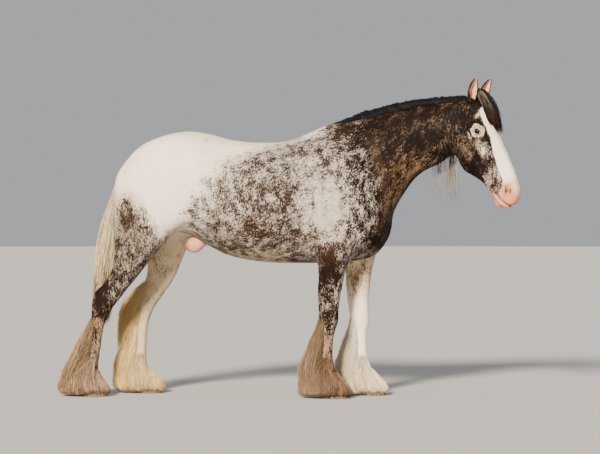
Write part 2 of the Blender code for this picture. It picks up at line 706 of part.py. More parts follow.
def keep_within(obj, planes):
    """Cuts the object flat along each plane, given as a point and the way out, and caps it."""
    bm = bmesh.new()
    bm.from_mesh(obj.data)
    for place, out in planes:
        cut = bmesh.ops.bisect_plane(
            bm, geom=bm.verts[:] + bm.edges[:] + bm.faces[:], dist=1e-6,
            plane_co=place, plane_no=out, clear_outer=True,
        )
        edges = [item for item in cut["geom_cut"] if isinstance(item, bmesh.types.BMEdge)]
        bmesh.ops.holes_fill(bm, edges=edges, sides=0)
    bmesh.ops.triangulate(bm, faces=bm.faces[:])
    bmesh.ops.recalc_face_normals(bm, faces=bm.faces)
    bm.to_mesh(obj.data)
    bm.free()
    largest_only(obj)


def combine(obj, others, operation, solver="EXACT"):
    """One applied Boolean with a collection of closed objects, which are then removed."""
    group = bpy.data.collections.new("pieces")
    bpy.context.scene.collection.children.link(group)
    for other in others:
        bpy.context.scene.collection.objects.unlink(other)
        group.objects.link(other)
    modifier = obj.modifiers.new(operation, "BOOLEAN")
    modifier.operation = operation
    modifier.operand_type = "COLLECTION"
    modifier.collection = group
    modifier.solver = solver
    apply_modifiers(obj)
    for other in others:
        bpy.data.objects.remove(other)
    bpy.data.collections.remove(group)
    largest_only(obj)


def cut_clear(obj, neighbours):
    """Cuts the object back so that it stops a gap short of each neighbour's surface."""
    for neighbour in neighbours:
        cutter = copy_of(neighbour, "cutter")
        mesh = cutter.data
        set_points(mesh, points_of(mesh) + normals_of(mesh) * GAP)
        combine(obj, [cutter], "DIFFERENCE")


def prism(name, outline, near, far, grow=0.0):
    """A block with a convex outline in x and z, anticlockwise, between two values of y."""
    count = len(outline)
    corners = []
    for number in range(count):
        before, here, after = (Vector(outline[(number + step) % count]) for step in (-1, 0, 1))
        arriving = (here - before).normalized()
        leaving = (after - here).normalized()
        out_one = Vector((arriving.y, -arriving.x))
        out_two = Vector((leaving.y, -leaving.x))
        corners.append(here + (out_one + out_two) * grow / (1.0 + out_one.dot(out_two)))
    low = min(near, far) - grow
    high = max(near, far) + grow
    return loft(name, [[Vector((c.x, y, c.y)) for c in corners] for y in (low, high)])


def planes_of(outline, near, far):
    """The same block as planes, each a point and the way out."""
    planes = []
    for start, end in zip(outline, outline[1:] + outline[:1]):
        along = Vector(end) - Vector(start)
        planes.append((Vector((start[0], 0.0, start[1])), Vector((along.y, 0.0, -along.x)).normalized()))
    planes.append((Vector((0.0, min(near, far), 0.0)), Vector((0.0, -1.0, 0.0))))
    planes.append((Vector((0.0, max(near, far), 0.0)), Vector((0.0, 1.0, 0.0))))
    return planes


def shifted(plane, amount):
    place, out = plane
    return place + out * amount, out


def turned(plane):
    place, out = plane
    return place, -out


def leg_outline(leg, side):
    """Where a leg is parted from the torso, seen from the side, anticlockwise."""
    lead = lead_of(leg, side, 0.9)
    if leg == "foreleg":
        return [(0.06, -0.05), (0.80, -0.05), (0.80, 0.40), (0.46 + lead, 0.82), (0.13 + lead, 0.89)]
    return [(-1.50, -0.05), (-0.55, -0.05), (-0.48 + lead, 0.862), (-1.05, 1.16), (-1.50, 1.16)]


def coronet_plane(leg, side):
    """The plane between pastern and hoof, rising towards the toe."""
    front, back, _, out = leg_at(leg, side, CORONET_HEIGHT)
    middle = Vector(((front + back) / 2.0, out, CORONET_HEIGHT))
    return middle, Vector((-math.sin(CORONET_TILT), 0.0, math.cos(CORONET_TILT)))


def make_hoof(leg, side_name):
    side = SIDES[side_name]
    front, back, _, out = leg_at(leg, side, CORONET_HEIGHT)
    middle = (front + back) / 2.0
    rings = []
    for share in (0.0, 0.12, 1.0):
        half_length = blend(HOOF_LENGTH, CORONET_LENGTH, share) / 2.0
        half_width = blend(HOOF_WIDTH, CORONET_WIDTH, share) / 2.0
        ahead = middle + blend(HOOF_AHEAD, 0.0, share)
        ring = []
        for number in range(18):
            turn = 2.0 * math.pi * number / 18
            x = half_length * math.cos(turn)
            squeeze = 1.0 if x > 0.0 else 0.93
            rise = (CORONET_HEIGHT + x * math.tan(CORONET_TILT)) * share
            ring.append(Vector((ahead + x, out + squeeze * half_width * math.sin(turn), rise)))
        rings.append(ring)
    return loft(f"{leg}_{side_name}_hoof", rings)


def eye_place(side):
    along, depth, out = EYE
    return head_point(along, depth, side * (out - EYE_RADIUS * EYE_SUNK))


def make_eye(side_name):
    place = eye_place(SIDES[side_name])
    return ball(f"eye_{side_name}", place, (EYE_RADIUS,) * 3, fineness=(14, 8))


def lid(name, side, bulge):
    """A roll of skin over the eye from its front corner to its back one."""
    centre = eye_place(side)
    out = (head_point(0.0, 0.0, side) - head_point(0.0, 0.0, 0.0)).normalized()
    nose = head_point(math.cos(EYE_SLANT), -math.sin(EYE_SLANT), 0.0) - head_point(0.0, 0.0, 0.0)
    up = head_point(-math.sin(EYE_SLANT), -math.cos(EYE_SLANT), 0.0) - head_point(0.0, 0.0, 0.0)
    rings = []
    steps = 8
    for step in range(steps + 1):
        swing = blend(-1.0, 1.0, step / steps)
        across = nose * (EYE_OPENING / 2.0 * swing)
        rise = up * (bulge * (1.0 - swing * swing))
        flat = across + rise
        level = math.sqrt(max(0.0, (EYE_RADIUS + 0.001) ** 2 - flat.length_squared))
        middle = centre + flat + out * level
        away = (middle - centre).normalized()
        edge = (up * math.copysign(1.0, bulge)).normalized()
        edge = (edge - away * edge.dot(away)).normalized()
        size = LID_THICKNESS * blend(0.55, 1.0, 1.0 - swing * swing)
        ring = []
        for number in range(6):
            turn = 2.0 * math.pi * number / 6
            ring.append(middle + away * (size * math.cos(turn)) + edge * (size * 1.5 * (0.6 + math.sin(turn))))
        rings.append(ring)
    return loft(name, rings)


def make_ear(side_name):
    """A cup open to the front, from a round base to a point, with a wall as thick as life."""
    side = SIDES[side_name]
    base = head_point(EAR_BASE[0], EAR_BASE[1], side * EAR_BASE[2])
    tip = head_point(EAR_TIP[0], EAR_TIP[1], side * EAR_TIP[2])
    rise = tip - base
    up = rise.normalized()
    facing = head_point(0.0, -1.0, side * EAR_FACING) - head_point(0.0, 0.0, 0.0)
    facing = (facing - up * facing.dot(up)).normalized()
    across = up.cross(facing)
    rings = []
    for share, half_width, opening in EAR:
        middle = base + rise * share + facing * (EAR_BOW * math.sin(math.pi * share))
        wall = min(EAR_WALL, half_width * 0.45)
        wrap = math.pi - opening
        ring = []
        for layer, radius in ((1.0, half_width), (-1.0, half_width - wall)):
            for number in range(8):
                turn = layer * blend(-wrap, wrap, number / 7.0)
                back = facing * (-math.cos(turn) * radius * 0.85)
                ring.append(middle + back + across * (math.sin(turn) * radius))
        rings.append(ring)
    return loft(f"ear_{side_name}", rings)


def make_sheath():
    return ball("sheath", SHEATH_PLACE, SHEATH_RADII, SHEATH_LEAN, (14, 8))


def lock(path, outs, width, thickness):
    """A flat lock: four-sided rings along the path, drawn to a point at its last place."""
    bm = bmesh.new()
    rings = []
    for number in range(len(path) - 1):
        share = float(np.interp(number / (len(path) - 1), LOCK_PLACES, LOCK_WIDTHS))
        along = (path[number + 1] - path[max(number - 1, 0)]).normalized()
        out = (outs[number] - along * outs[number].dot(along)).normalized()
        wide = along.cross(out) * (width / 2.0 * share)
        deep = out * (thickness / 2.0 * share)
        rings.append([bm.verts.new(path[number] + offset) for offset in (wide, deep, -wide, -deep)])
    for ring, following in zip(rings, rings[1:]):
        for number in range(4):
            after = (number + 1) % 4
            bm.faces.new((ring[number], ring[after], following[after]))
            bm.faces.new((ring[number], following[after], following[number]))
    tip = bm.verts.new(path[-1])
    for number in range(4):
        bm.faces.new((rings[-1][number], rings[-1][(number + 1) % 4], tip))
    bm.faces.new(rings[0][:3])
    bm.faces.new((rings[0][2], rings[0][3], rings[0][0]))
    return add_object("lock", bm)


def row_at(rows, share):
    """The columns of a table at a share of the way down its rows."""
    places = np.linspace(0.0, 1.0, len(rows))
    return [float(np.interp(share, places, column)) for column in zip(*rows)]


def neck_place(share, fall, lift):
    """A place over the neck: from the withers (0) to the poll (1), turned down from the crest
    to the left by an angle, and lifted off the surface. Also gives the way out of the neck."""
    crest_x, crest_z, throat_x, throat_z, half, out = row_at(NECK, share)
    crest = Vector((crest_x, out, crest_z))
    throat = Vector((throat_x, out, throat_z))
    place = oval_point(crest, throat, half, math.radians(90.0 - fall), 0.42, 1.25)
    away = (place - throat.lerp(crest, 0.55)).normalized()
    return place + away * lift, away


def mane_locks():
    """Locks rooted along the crest that fall over the left side of the neck."""
    draw = random.Random(11)
    locks = []
    for number in range(MANE_LOCKS):
        share = blend(MANE_START, MANE_END, (number + draw.uniform(0.2, 0.8)) / MANE_LOCKS)
        reach = draw.uniform(0.80, 1.10) * blend(78.0, 112.0, math.sin(math.pi * min(1.0, share * 1.2)))
        slant = draw.uniform(-0.05, 0.02)
        path, outs = [], []
        for step, lift in enumerate(MANE_LIFTS):
            down = step / (len(MANE_LIFTS) - 1)
            fall = blend(draw.uniform(-24.0, -12.0), reach, down)
            place, out = neck_place(min(1.0, share + slant * down), fall, lift)
            path.append(place)
            outs.append(out)
        locks.append(lock(path, outs, MANE_WIDTH * draw.uniform(0.85, 1.15), MANE_THICKNESS))
    for share, tip_height in MANE_WISPS:
        path, outs = [], []
        for step, (fall, lift) in enumerate(((-10.0, -0.012), (40.0, 0.020), (80.0, 0.022))):
            place, out = neck_place(share, fall, lift)
            path.append(place)
            outs.append(out)
        for step in (0.45, 1.0):
            hang = Vector(path[2])
            hang.z = blend(path[2].z, tip_height, step)
            path.append(hang)
            outs.append(outs[2])
        locks.append(lock(path, outs, 0.044, MANE_THICKNESS))
    return locks


def forelock_locks():
    """Locks from the poll that fan down the forehead between the eyes."""
    draw = random.Random(12)
    locks = []
    for number in range(FORELOCK_LOCKS):
        fan = blend(-1.0, 1.0, (number + 0.5) / FORELOCK_LOCKS)
        reach = FORELOCK_REACH * draw.uniform(0.75, 1.05) * (1.0 - 0.25 * fan * fan)
        path, outs = [], []
        for step, rise in enumerate(FORELOCK_LIFTS):
            down = step / (len(FORELOCK_LIFTS) - 1)
            side = fan * blend(0.024, 0.052, down) + 0.010 * down
            along = blend(0.004, reach, down)
            path.append(head_point(along, -rise * (1.0 - 0.35 * fan * fan), side))
            outs.append(head_point(0.0, -1.0, 0.6 * fan) - head_point(0.0, 0.0, 0.0))
        locks.append(lock(path, outs, draw.uniform(0.044, 0.054), 0.015))
    return locks


def tail_place(height, turn, share):
    """A place in the tail at a height: out from its middle by a share of its half sizes."""
    rows = TAIL[::-1]
    heights = [row[2] for row in rows]
    x, y, deep, wide = (
        float(np.interp(height, heights, [row[column] for row in rows])) for column in (0, 1, 3, 4)
    )
    out = Vector((math.sin(turn) * deep, math.cos(turn) * wide, 0.0))
    return Vector((x, y, height)) + out * share, out.normalized()


def make_tail():
    """The dock, and locks rooted down it that hang to the tail's tips."""
    rings = []
    for height in DOCK_HEIGHTS:
        size = 1.0 if height > TAIL[1][2] else DOCK_SHARE
        rings.append([
            tail_place(height, 2.0 * math.pi * number / 12, size)[0] for number in range(12)
        ])
    tail = loft("tail", rings)
    draw = random.Random(13)
    locks = []
    for number in range(TAIL_LOCKS):
        turn = 2.399963 * number + draw.uniform(-0.3, 0.3)
        top = blend(DOCK_HEIGHTS[0] - 0.09, DOCK_HEIGHTS[-1] + 0.05, (number % 5 + 0.5) / 5)
        end = blend(top - 0.38, TAIL[-1][2], draw.uniform(0.15, 1.0))
        path, outs = [], []
        for step, share in enumerate(TAIL_SPREAD):
            down = step / (len(TAIL_SPREAD) - 1)
            place, out = tail_place(blend(top, end, down), turn + 0.3 * down, share)
            path.append(place)
            outs.append(out)
        locks.append(lock(path, outs, draw.uniform(0.074, 0.090), 0.024))
    combine(tail, locks, "UNION")
    return tail


def feather_place(leg, side, height, turn, share, drawn_in=0.0):
    """A place round the lower leg, from its skin (0) to the tips of the feather (1), then drawn
    in towards the middle of the leg."""
    rows = FEATHER[::-1]
    heights = [row[0] for row in rows]
    ahead, behind, half = (
        float(np.interp(height, heights, [row[column] for row in rows])) for column in (1, 2, 3)
    )
    front, back, leg_half, out = leg_at(leg, side, height)
    outer = oval_point(
        Vector((front + ahead, out, height)), Vector((back - behind, out, height)), half, turn, 0.45
    )
    inner = oval_point(Vector((front, out, height)), Vector((back, out, height)), leg_half, turn, 0.55)
    middle = Vector(((front + back) / 2.0, out, height))
    return inner.lerp(outer, share).lerp(middle, drawn_in), (outer - middle).normalized()


def feather_locks(leg, side):
    """The thick of the feather, and locks rooted in it that spread over the hoof."""
    draw = random.Random(LEG_SEEDS[leg] + (side > 0.0))
    rings = []
    for height, share, drawn_in in FEATHER_CORE:
        turns = [2.0 * math.pi * number / 10 for number in range(10)]
        rings.append([feather_place(leg, side, height, turn, share, drawn_in)[0] for turn in turns])
    locks = [loft("feather core", rings)]
    for name, count, spread, high, low, length, width in FEATHER_TIERS:
        for number in range(count):
            turn = math.radians(-90.0 + blend(-spread, spread, (number + 0.5) / count))
            turn += draw.uniform(-0.1, 0.1)
            top = blend(low, high, draw.random())
            end = max(FEATHER_CLEARANCE, top - length * draw.uniform(0.85, 1.15))
            reach = FEATHER_REACHES[number % 2] * draw.uniform(0.98, 1.08)
            path, outs = [], []
            for step, share in enumerate(FEATHER_SPREAD):
                down = step / (len(FEATHER_SPREAD) - 1)
                drawn_in = FEATHER_ROOT if step == 0 else 0.0
                height = blend(top, end, down)
                place, out = feather_place(leg, side, height, turn, share * reach, drawn_in)
                path.append(place)
                outs.append(out)
            locks.append(lock(path, outs, width * draw.uniform(0.85, 1.15), FEATHER_THICKNESS))
    return locks


def material(name, colour, roughness):
    made = bpy.data.materials.new(name)
    made.use_nodes = True
    shader = made.node_tree.nodes["Principled BSDF"]
    shader.inputs["Base Color"].default_value = (*colour, 1.0)
    shader.inputs["Roughness"].default_value = roughness
    return made


def colour_nodes(nodes):
    coat = material("coat", (0.42, 0.38, 0.35), 0.7)
    dark_coat = material("dark coat", (0.06, 0.05, 0.045), 0.7)
    cream_hair = material("cream hair", (0.62, 0.50, 0.34), 0.6)
    pink_skin = material("pink skin", (0.70, 0.42, 0.34), 0.5)
    horn = material("hoof horn", (0.22, 0.17, 0.12), 0.4)
    eye = material("eye", (0.03, 0.02, 0.015), 0.05)
    for obj in nodes:
        if "hoof" in obj.name:
            chosen = horn
        elif "eye" in obj.name:
            chosen = eye
        elif "sheath" in obj.name or "ear" in obj.name:
            chosen = pink_skin
        elif "cannon" in obj.name or obj.name == "tail":
            chosen = cream_hair
        elif obj.name in ("head", "neck"):
            chosen = dark_coat
        else:
            chosen = coat
        obj.data.materials.clear()
        obj.data.materials.append(chosen)


def main():
    for obj in list(bpy.data.objects):
        bpy.data.objects.remove(obj)
    flesh = make_flesh()
    coarse = copy_of(flesh, "coarse flesh")
    fewer(coarse, BODY_TRIANGLES)
    detail_head(flesh)
    nodes = {}

    head_cut = (head_point(*HEAD_CUT), (head_point(*HEAD_CUT_WAY) - head_point(0, 0, 0)).normalized())
    neck_cut = (Vector(NECK_CUT), Vector(NECK_CUT_WAY).normalized())
    head = copy_of(flesh, "head")
    bpy.data.objects.remove(flesh)
    keep_within(head, [turned(shifted(head_cut, -HEAD_MARGIN))])
    fewer(head, HEAD_TRIANGLES)
    keep_within(head, [turned(head_cut)])
    neck = copy_of(coarse, "neck")
    keep_within(neck, [shifted(head_cut, -GAP), turned(neck_cut)])
    torso = copy_of(coarse, "torso")
    keep_within(torso, [shifted(neck_cut, -GAP)])
    nodes.update(head=head, neck=neck, torso=torso)

    for side_name, side in SIDES.items():
        for leg in LEAD:
            outline = leg_outline(leg, side)
            inner = side * LEG_INNER[leg]
            whole = copy_of(coarse, "leg")
            keep_within(whole, planes_of(outline, inner, side * 0.6))
            combine(torso, [prism("cutter", outline, inner, side * 0.6, GAP)], "DIFFERENCE")
            hoof = make_hoof(leg, side_name)
            nodes[hoof.name] = hoof
            cuts = [(Vector((0.0, 0.0, height)), Vector((0.0, 0.0, 1.0))) for height in LEG_CUTS[leg]]
            cuts.append(coronet_plane(leg, side))
            above = []
            for number, part in enumerate(LEG_PARTS[leg]):
                name = f"{leg}_{side_name}_{part}"
                piece = copy_of(whole, name)
                keep_within(piece, above + [turned(shifted(cuts[number], GAP / 2.0))])
                nodes[name] = piece
                if number + 1 < len(LEG_PARTS[leg]):
                    above = [shifted(cuts[number], -GAP / 2.0)]
            bpy.data.objects.remove(whole)
            combine(piece, feather_locks(leg, side), "UNION")
            keep_within(piece, above)
            cut_clear(piece, [hoof])

    combine(neck, mane_locks(), "UNION")
    keep_within(neck, [shifted(head_cut, -GAP)])
    cut_clear(neck, [torso])
    lids = [lid("lid", side, bulge) for side in SIDES.values() for bulge in (UPPER_LID, LOWER_LID)]
    combine(head, forelock_locks() + lids, "UNION")
    keep_within(head, [turned(head_cut)])
    for side_name in SIDES:
        eye = make_eye(side_name)
        cut_clear(head, [eye])
        ear = make_ear(side_name)
        cut_clear(ear, [head, neck])
        nodes[eye.name] = eye
        nodes[ear.name] = ear
    tail = make_tail()
    cut_clear(tail, [coarse])
    sheath = make_sheath()
    cut_clear(sheath, [coarse])
    nodes.update(tail=tail, sheath=sheath)
    bpy.data.objects.remove(coarse)
    colour_nodes(nodes.values())


main()
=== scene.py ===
"""Looks of a life-size appaloosa cob with feathered legs, its head turned to its right.

Metres, +Z up. The horse faces +X and its right side faces -Y. One skin replaces the parts of
flesh. Solid tufts, mane, forelock, tail and feather grow from it, with the same markings.
"""

import math

import bmesh
import bpy
import numpy as np
from bpy.props import FloatProperty, FloatVectorProperty, IntProperty, PointerProperty
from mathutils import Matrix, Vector
from mathutils.bvhtree import BVHTree


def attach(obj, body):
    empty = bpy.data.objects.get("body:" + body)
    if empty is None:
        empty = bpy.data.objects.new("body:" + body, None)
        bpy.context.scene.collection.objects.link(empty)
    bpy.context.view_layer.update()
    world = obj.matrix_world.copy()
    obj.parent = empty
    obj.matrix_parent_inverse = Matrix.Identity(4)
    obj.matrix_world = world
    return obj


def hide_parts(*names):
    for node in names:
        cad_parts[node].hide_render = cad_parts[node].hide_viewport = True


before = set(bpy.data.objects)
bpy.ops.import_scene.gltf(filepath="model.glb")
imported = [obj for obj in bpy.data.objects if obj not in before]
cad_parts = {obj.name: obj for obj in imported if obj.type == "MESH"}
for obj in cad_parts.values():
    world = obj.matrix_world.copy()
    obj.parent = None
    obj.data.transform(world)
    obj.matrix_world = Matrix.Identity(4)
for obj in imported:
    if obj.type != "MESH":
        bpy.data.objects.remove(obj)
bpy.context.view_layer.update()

bl_info = {
    "name": "Appaloosa cob",
    "version": (1, 0, 0),
    "blender": (4, 5, 0),
    "location": "View3D > Sidebar > Horse",
    "description": "Builds the coat, hair, eyes, ears, hooves and stage of a standing appaloosa cob",
    "category": "Object",
}

SIDES = {"right": -1.0, "left": 1.0}
# The corners of each ring of the flesh, and the grain at which its forms are joined.
RING_SIDES = 32
CLAY_GRAIN = 0.0108

# Trunk sections: x, height of the back, height of the belly, half width,
# level of the widest place from 0 at the belly to 1 at the back, and how sharp the back is.
TRUNK = (
    (-0.985, 1.235, 1.11, 0.055, 0.5, 1.0),
    (-0.955, 1.29, 1.05, 0.115, 0.5, 1.0),
    (-0.9, 1.352, 1.0, 0.178, 0.52, 1.0),
    (-0.8, 1.428, 0.96, 0.245, 0.55, 1.0),
    (-0.68, 1.48, 0.925, 0.285, 0.58, 1.0),
    (-0.55, 1.498, 0.9, 0.302, 0.6, 1.0),
    (-0.45, 1.482, 0.836, 0.312, 0.58, 1.0),
    (-0.35, 1.45, 0.786, 0.322, 0.52, 0.95),
    (-0.22, 1.428, 0.756, 0.33, 0.48, 0.95),
    (-0.08, 1.424, 0.744, 0.33, 0.47, 0.95),
    (0.02, 1.438, 0.742, 0.32, 0.46, 1.05),
    (0.11, 1.482, 0.742, 0.3, 0.44, 1.25),
    (0.2, 1.528, 0.742, 0.28, 0.42, 1.4),
    (0.29, 1.548, 0.745, 0.265, 0.4, 1.35),
    (0.39, 1.5, 0.755, 0.25, 0.4, 1.15),
    (0.48, 1.39, 0.775, 0.225, 0.42, 1.0),
    (0.54, 1.27, 0.83, 0.185, 0.45, 1.0),
    (0.58, 1.14, 0.92, 0.12, 0.5, 1.0),
)

# Neck sections: x and z of the crest, x and z of the throat side, half width, sideways place.
NECK = (
    (0.2, 1.5, 0.48, 0.9, 0.215, 0.0),
    (0.33, 1.55, 0.568, 0.96, 0.19, 0.0),
    (0.45, 1.59, 0.622, 1.06, 0.16, 0.0),
    (0.57, 1.622, 0.668, 1.15, 0.136, -0.002),
    (0.69, 1.646, 0.722, 1.22, 0.118, -0.005),
    (0.8, 1.66, 0.785, 1.263, 0.105, -0.009),
    (0.89, 1.666, 0.85, 1.285, 0.096, -0.013),
    (0.97, 1.668, 0.905, 1.33, 0.088, -0.017),
    (1.04, 1.664, 0.96, 1.39, 0.078, -0.02),
)

# The head's own space: a pivot at the top of the neck, the start of the face line at the poll,
# how far the face line leans from the vertical, and how far the head turns to the right.
HEAD_PIVOT = np.array((1.04, -0.02, 1.6))
FACE_START = np.array((1.086, 1.678))
FACE_LEAN = math.radians(26.5)
HEAD_TURN = math.radians(24.0)
# Head sections: distance down the face line, depth of the front and of the jaw side behind that
# line, then half widths at the bridge, the middle and the jaw.
HEAD = (
    (-0.03, 0.05, 0.15, 0.03, 0.055, 0.03),
    (-0.01, 0.018, 0.185, 0.045, 0.072, 0.05),
    (0.03, 0.002, 0.205, 0.062, 0.084, 0.062),
    (0.08, -0.005, 0.215, 0.075, 0.092, 0.07),
    (0.13, -0.006, 0.228, 0.082, 0.098, 0.074),
    (0.18, -0.005, 0.25, 0.08, 0.1, 0.074),
    (0.23, -0.002, 0.275, 0.068, 0.096, 0.072),
    (0.28, 0.0, 0.287, 0.056, 0.088, 0.068),
    (0.33, 0.0, 0.278, 0.05, 0.077, 0.06),
    (0.38, 0.0, 0.24, 0.046, 0.066, 0.05),
    (0.43, 0.0, 0.208, 0.043, 0.058, 0.042),
    (0.48, 0.0, 0.19, 0.042, 0.054, 0.04),
    (0.53, 0.002, 0.18, 0.044, 0.058, 0.04),
    (0.57, 0.012, 0.176, 0.044, 0.06, 0.04),
    (0.6, 0.028, 0.168, 0.04, 0.055, 0.038),
    (0.622, 0.048, 0.15, 0.031, 0.045, 0.031),
    (0.636, 0.068, 0.124, 0.016, 0.028, 0.018),
)

# Foreleg sections of the right leg: height, x of the front, x of the back, half width, and the
# distance of its middle from the plane down the middle of the horse.
FORELEG = (
    (1.08, 0.47, 0.16, 0.1, 0.15),
    (0.96, 0.44, 0.172, 0.094, 0.158),
    (0.88, 0.408, 0.176, 0.088, 0.16),
    (0.811, 0.382, 0.177, 0.08, 0.158),
    (0.756, 0.366, 0.18, 0.072, 0.156),
    (0.712, 0.35, 0.183, 0.065, 0.154),
    (0.656, 0.335, 0.184, 0.059, 0.152),
    (0.6, 0.324, 0.182, 0.054, 0.15),
    (0.545, 0.313, 0.182, 0.049, 0.149),
    (0.5, 0.308, 0.184, 0.047, 0.148),
    (0.457, 0.305, 0.184, 0.051, 0.147),
    (0.413, 0.299, 0.19, 0.05, 0.146),
    (0.368, 0.284, 0.196, 0.041, 0.145),
    (0.296, 0.274, 0.197, 0.035, 0.144),
    (0.23, 0.271, 0.19, 0.036, 0.143),
    (0.185, 0.279, 0.175, 0.043, 0.142),
    (0.152, 0.289, 0.18, 0.043, 0.141),
    (0.119, 0.304, 0.196, 0.044, 0.14),
    (0.07, 0.322, 0.21, 0.05, 0.14),
)
# Hind leg sections of the right leg, in the same terms.
HINDLEG = (
    (1.33, -0.6, -0.88, 0.11, 0.165),
    (1.24, -0.53, -0.935, 0.125, 0.165),
    (1.15, -0.5, -0.962, 0.13, 0.165),
    (1.044, -0.515, -0.979, 0.122, 0.165),
    (0.96, -0.56, -0.979, 0.108, 0.165),
    (0.904, -0.625, -0.974, 0.096, 0.165),
    (0.848, -0.675, -0.97, 0.086, 0.165),
    (0.792, -0.723, -0.97, 0.076, 0.165),
    (0.736, -0.768, -0.978, 0.066, 0.165),
    (0.68, -0.815, -0.998, 0.057, 0.165),
    (0.624, -0.862, -1.034, 0.049, 0.165),
    (0.585, -0.896, -1.076, 0.047, 0.165),
    (0.54, -0.93, -1.093, 0.048, 0.164),
    (0.495, -0.968, -1.098, 0.047, 0.163),
    (0.45, -0.994, -1.099, 0.043, 0.162),
    (0.399, -1.015, -1.101, 0.038, 0.161),
    (0.343, -1.026, -1.106, 0.035, 0.16),
    (0.259, -1.038, -1.116, 0.035, 0.159),
    (0.19, -1.05, -1.138, 0.044, 0.158),
    (0.152, -1.052, -1.144, 0.044, 0.157),
    (0.115, -1.05, -1.146, 0.044, 0.156),
    (0.07, -1.044, -1.152, 0.05, 0.156),
)
LEG_ROWS = {"foreleg": FORELEG, "hindleg": HINDLEG}
# How far each left leg stands ahead of its pair: height, distance.
LEAD = {
    "foreleg": ((1.0, 0.09), (0.56, 0.124), (0.4, 0.145), (0.1, 0.175)),
    "hindleg": (
        (1.15, 0.02), (0.95, 0.05), (0.8, 0.105), (0.65, 0.165), (0.45, 0.183), (0.2, 0.205), (0.07, 0.252),
    ),
}

# Muscle masses on each side: place, radii, and how far each leans forward at its foot.
MUSCLES = (
    ("shoulder blade", (0.37, 0.128, 1.24), (0.095, 0.07, 0.21), 24.0),
    ("triceps", (0.265, 0.178, 1.06), (0.16, 0.088, 0.125), 20.0),
    ("point of the shoulder", (0.47, 0.125, 1.05), (0.095, 0.088, 0.12), 0.0),
    ("breast", (0.505, 0.075, 0.96), (0.08, 0.08, 0.125), 0.0),
    ("croup", (-0.67, 0.13, 1.35), (0.24, 0.12, 0.115), 15.0),
    ("buttock", (-0.86, 0.14, 1.16), (0.115, 0.105, 0.17), 0.0),
    ("thigh", (-0.72, 0.185, 1.12), (0.19, 0.09, 0.2), 0.0),
)

# Strokes that raise (or, below zero, sink) the surface of each side along a path through
# places on it: name, path, reach, height. The body's are x, out from the middle, z.
BODY_STROKES = (
    ("front edge of the shoulder", ((0.41, 0.15, 1.5), (0.5, 0.17, 1.32), (0.58, 0.14, 1.16)), 0.05, -0.012),
    ("groove along the throat", ((0.63, 0.11, 1.2), (0.76, 0.09, 1.32), (0.9, 0.08, 1.4)), 0.04, -0.009),
    ("back edge of the shoulder", ((0.13, 0.25, 1.3), (0.1, 0.29, 1.12), (0.16, 0.26, 0.95)), 0.055, -0.013),
    ("blade ridge", ((0.27, 0.14, 1.42), (0.41, 0.2, 1.2)), 0.035, 0.007),
    ("elbow", ((0.185, 0.22, 0.94),), 0.05, 0.012),
    ("flank hollow", ((-0.4, 0.3, 1.17),), 0.13, -0.014),
    ("point of the hip", ((-0.455, 0.28, 1.36),), 0.07, 0.016),
    ("loin edge", ((-0.4, 0.17, 1.43), (-0.1, 0.16, 1.4)), 0.06, 0.006),
    ("fold of the flank", ((-0.47, 0.27, 1.06), (-0.45, 0.24, 0.9)), 0.045, -0.012),
    ("stifle", ((-0.565, 0.25, 0.985),), 0.07, 0.014),
    ("groove down the thigh",
     ((-0.885, 0.17, 1.27), (-0.865, 0.25, 1.1), (-0.885, 0.23, 0.95)), 0.035, -0.01),
    ("thigh over the gaskin", ((-0.7, 0.27, 0.93), (-0.84, 0.25, 0.86)), 0.05, -0.008),
    ("gaskin muscle", ((-0.74, 0.25, 0.84), (-0.82, 0.23, 0.76)), 0.05, 0.009),
    ("string of the hock", ((-0.945, 0.2, 0.8), (-1.0, 0.19, 0.68)), 0.022, -0.01),
    ("groove along the spine", ((-0.92, 0.0, 1.36), (-0.6, 0.0, 1.5), (-0.2, 0.0, 1.43)), 0.03, -0.007),
    ("groove down the breast", ((0.6, 0.0, 1.14), (0.6, 0.0, 1.0), (0.52, 0.0, 0.84)), 0.045, -0.012),
    ("forearm muscle", ((0.33, 0.23, 0.86), (0.32, 0.2, 0.7)), 0.05, 0.008),
)
# The legs' strokes are height, how far from back (0) to front (1), and which face: 1 is the
# outer side, -1 the inner side, 0 the front or the back.
LEG_STROKES = {
    "foreleg": (
        ("knee", ((0.44, 0.95, 0), (0.4, 0.95, 0)), 0.035, 0.005),
        ("bone behind the knee", ((0.43, 0.02, 0),), 0.022, 0.006),
        ("tendon groove", ((0.37, 0.42, 1), (0.21, 0.42, 1)), 0.014, -0.006),
        ("inner tendon groove", ((0.37, 0.42, -1), (0.21, 0.42, -1)), 0.014, -0.006),
        ("knee side", ((0.43, 0.6, 1), (0.43, 0.6, 1)), 0.03, 0.004),
        ("fetlock", ((0.17, 0.45, 1),), 0.03, 0.004),
    ),
    "hindleg": (
        ("point of the hock", ((0.6, 0.03, 0),), 0.03, 0.008),
        ("hock hollow", ((0.57, 0.4, 1), (0.62, 0.45, 1)), 0.022, -0.008),
        ("inner hock hollow", ((0.57, 0.4, -1), (0.62, 0.45, -1)), 0.022, -0.008),
        ("hock bone", ((0.5, 0.6, 1),), 0.03, 0.005),
        ("tendon groove", ((0.42, 0.42, 1), (0.21, 0.42, 1)), 0.014, -0.006),
        ("inner tendon groove", ((0.42, 0.42, -1), (0.21, 0.42, -1)), 0.014, -0.006),
        ("fetlock", ((0.17, 0.45, 1),), 0.03, 0.004),
    ),
}
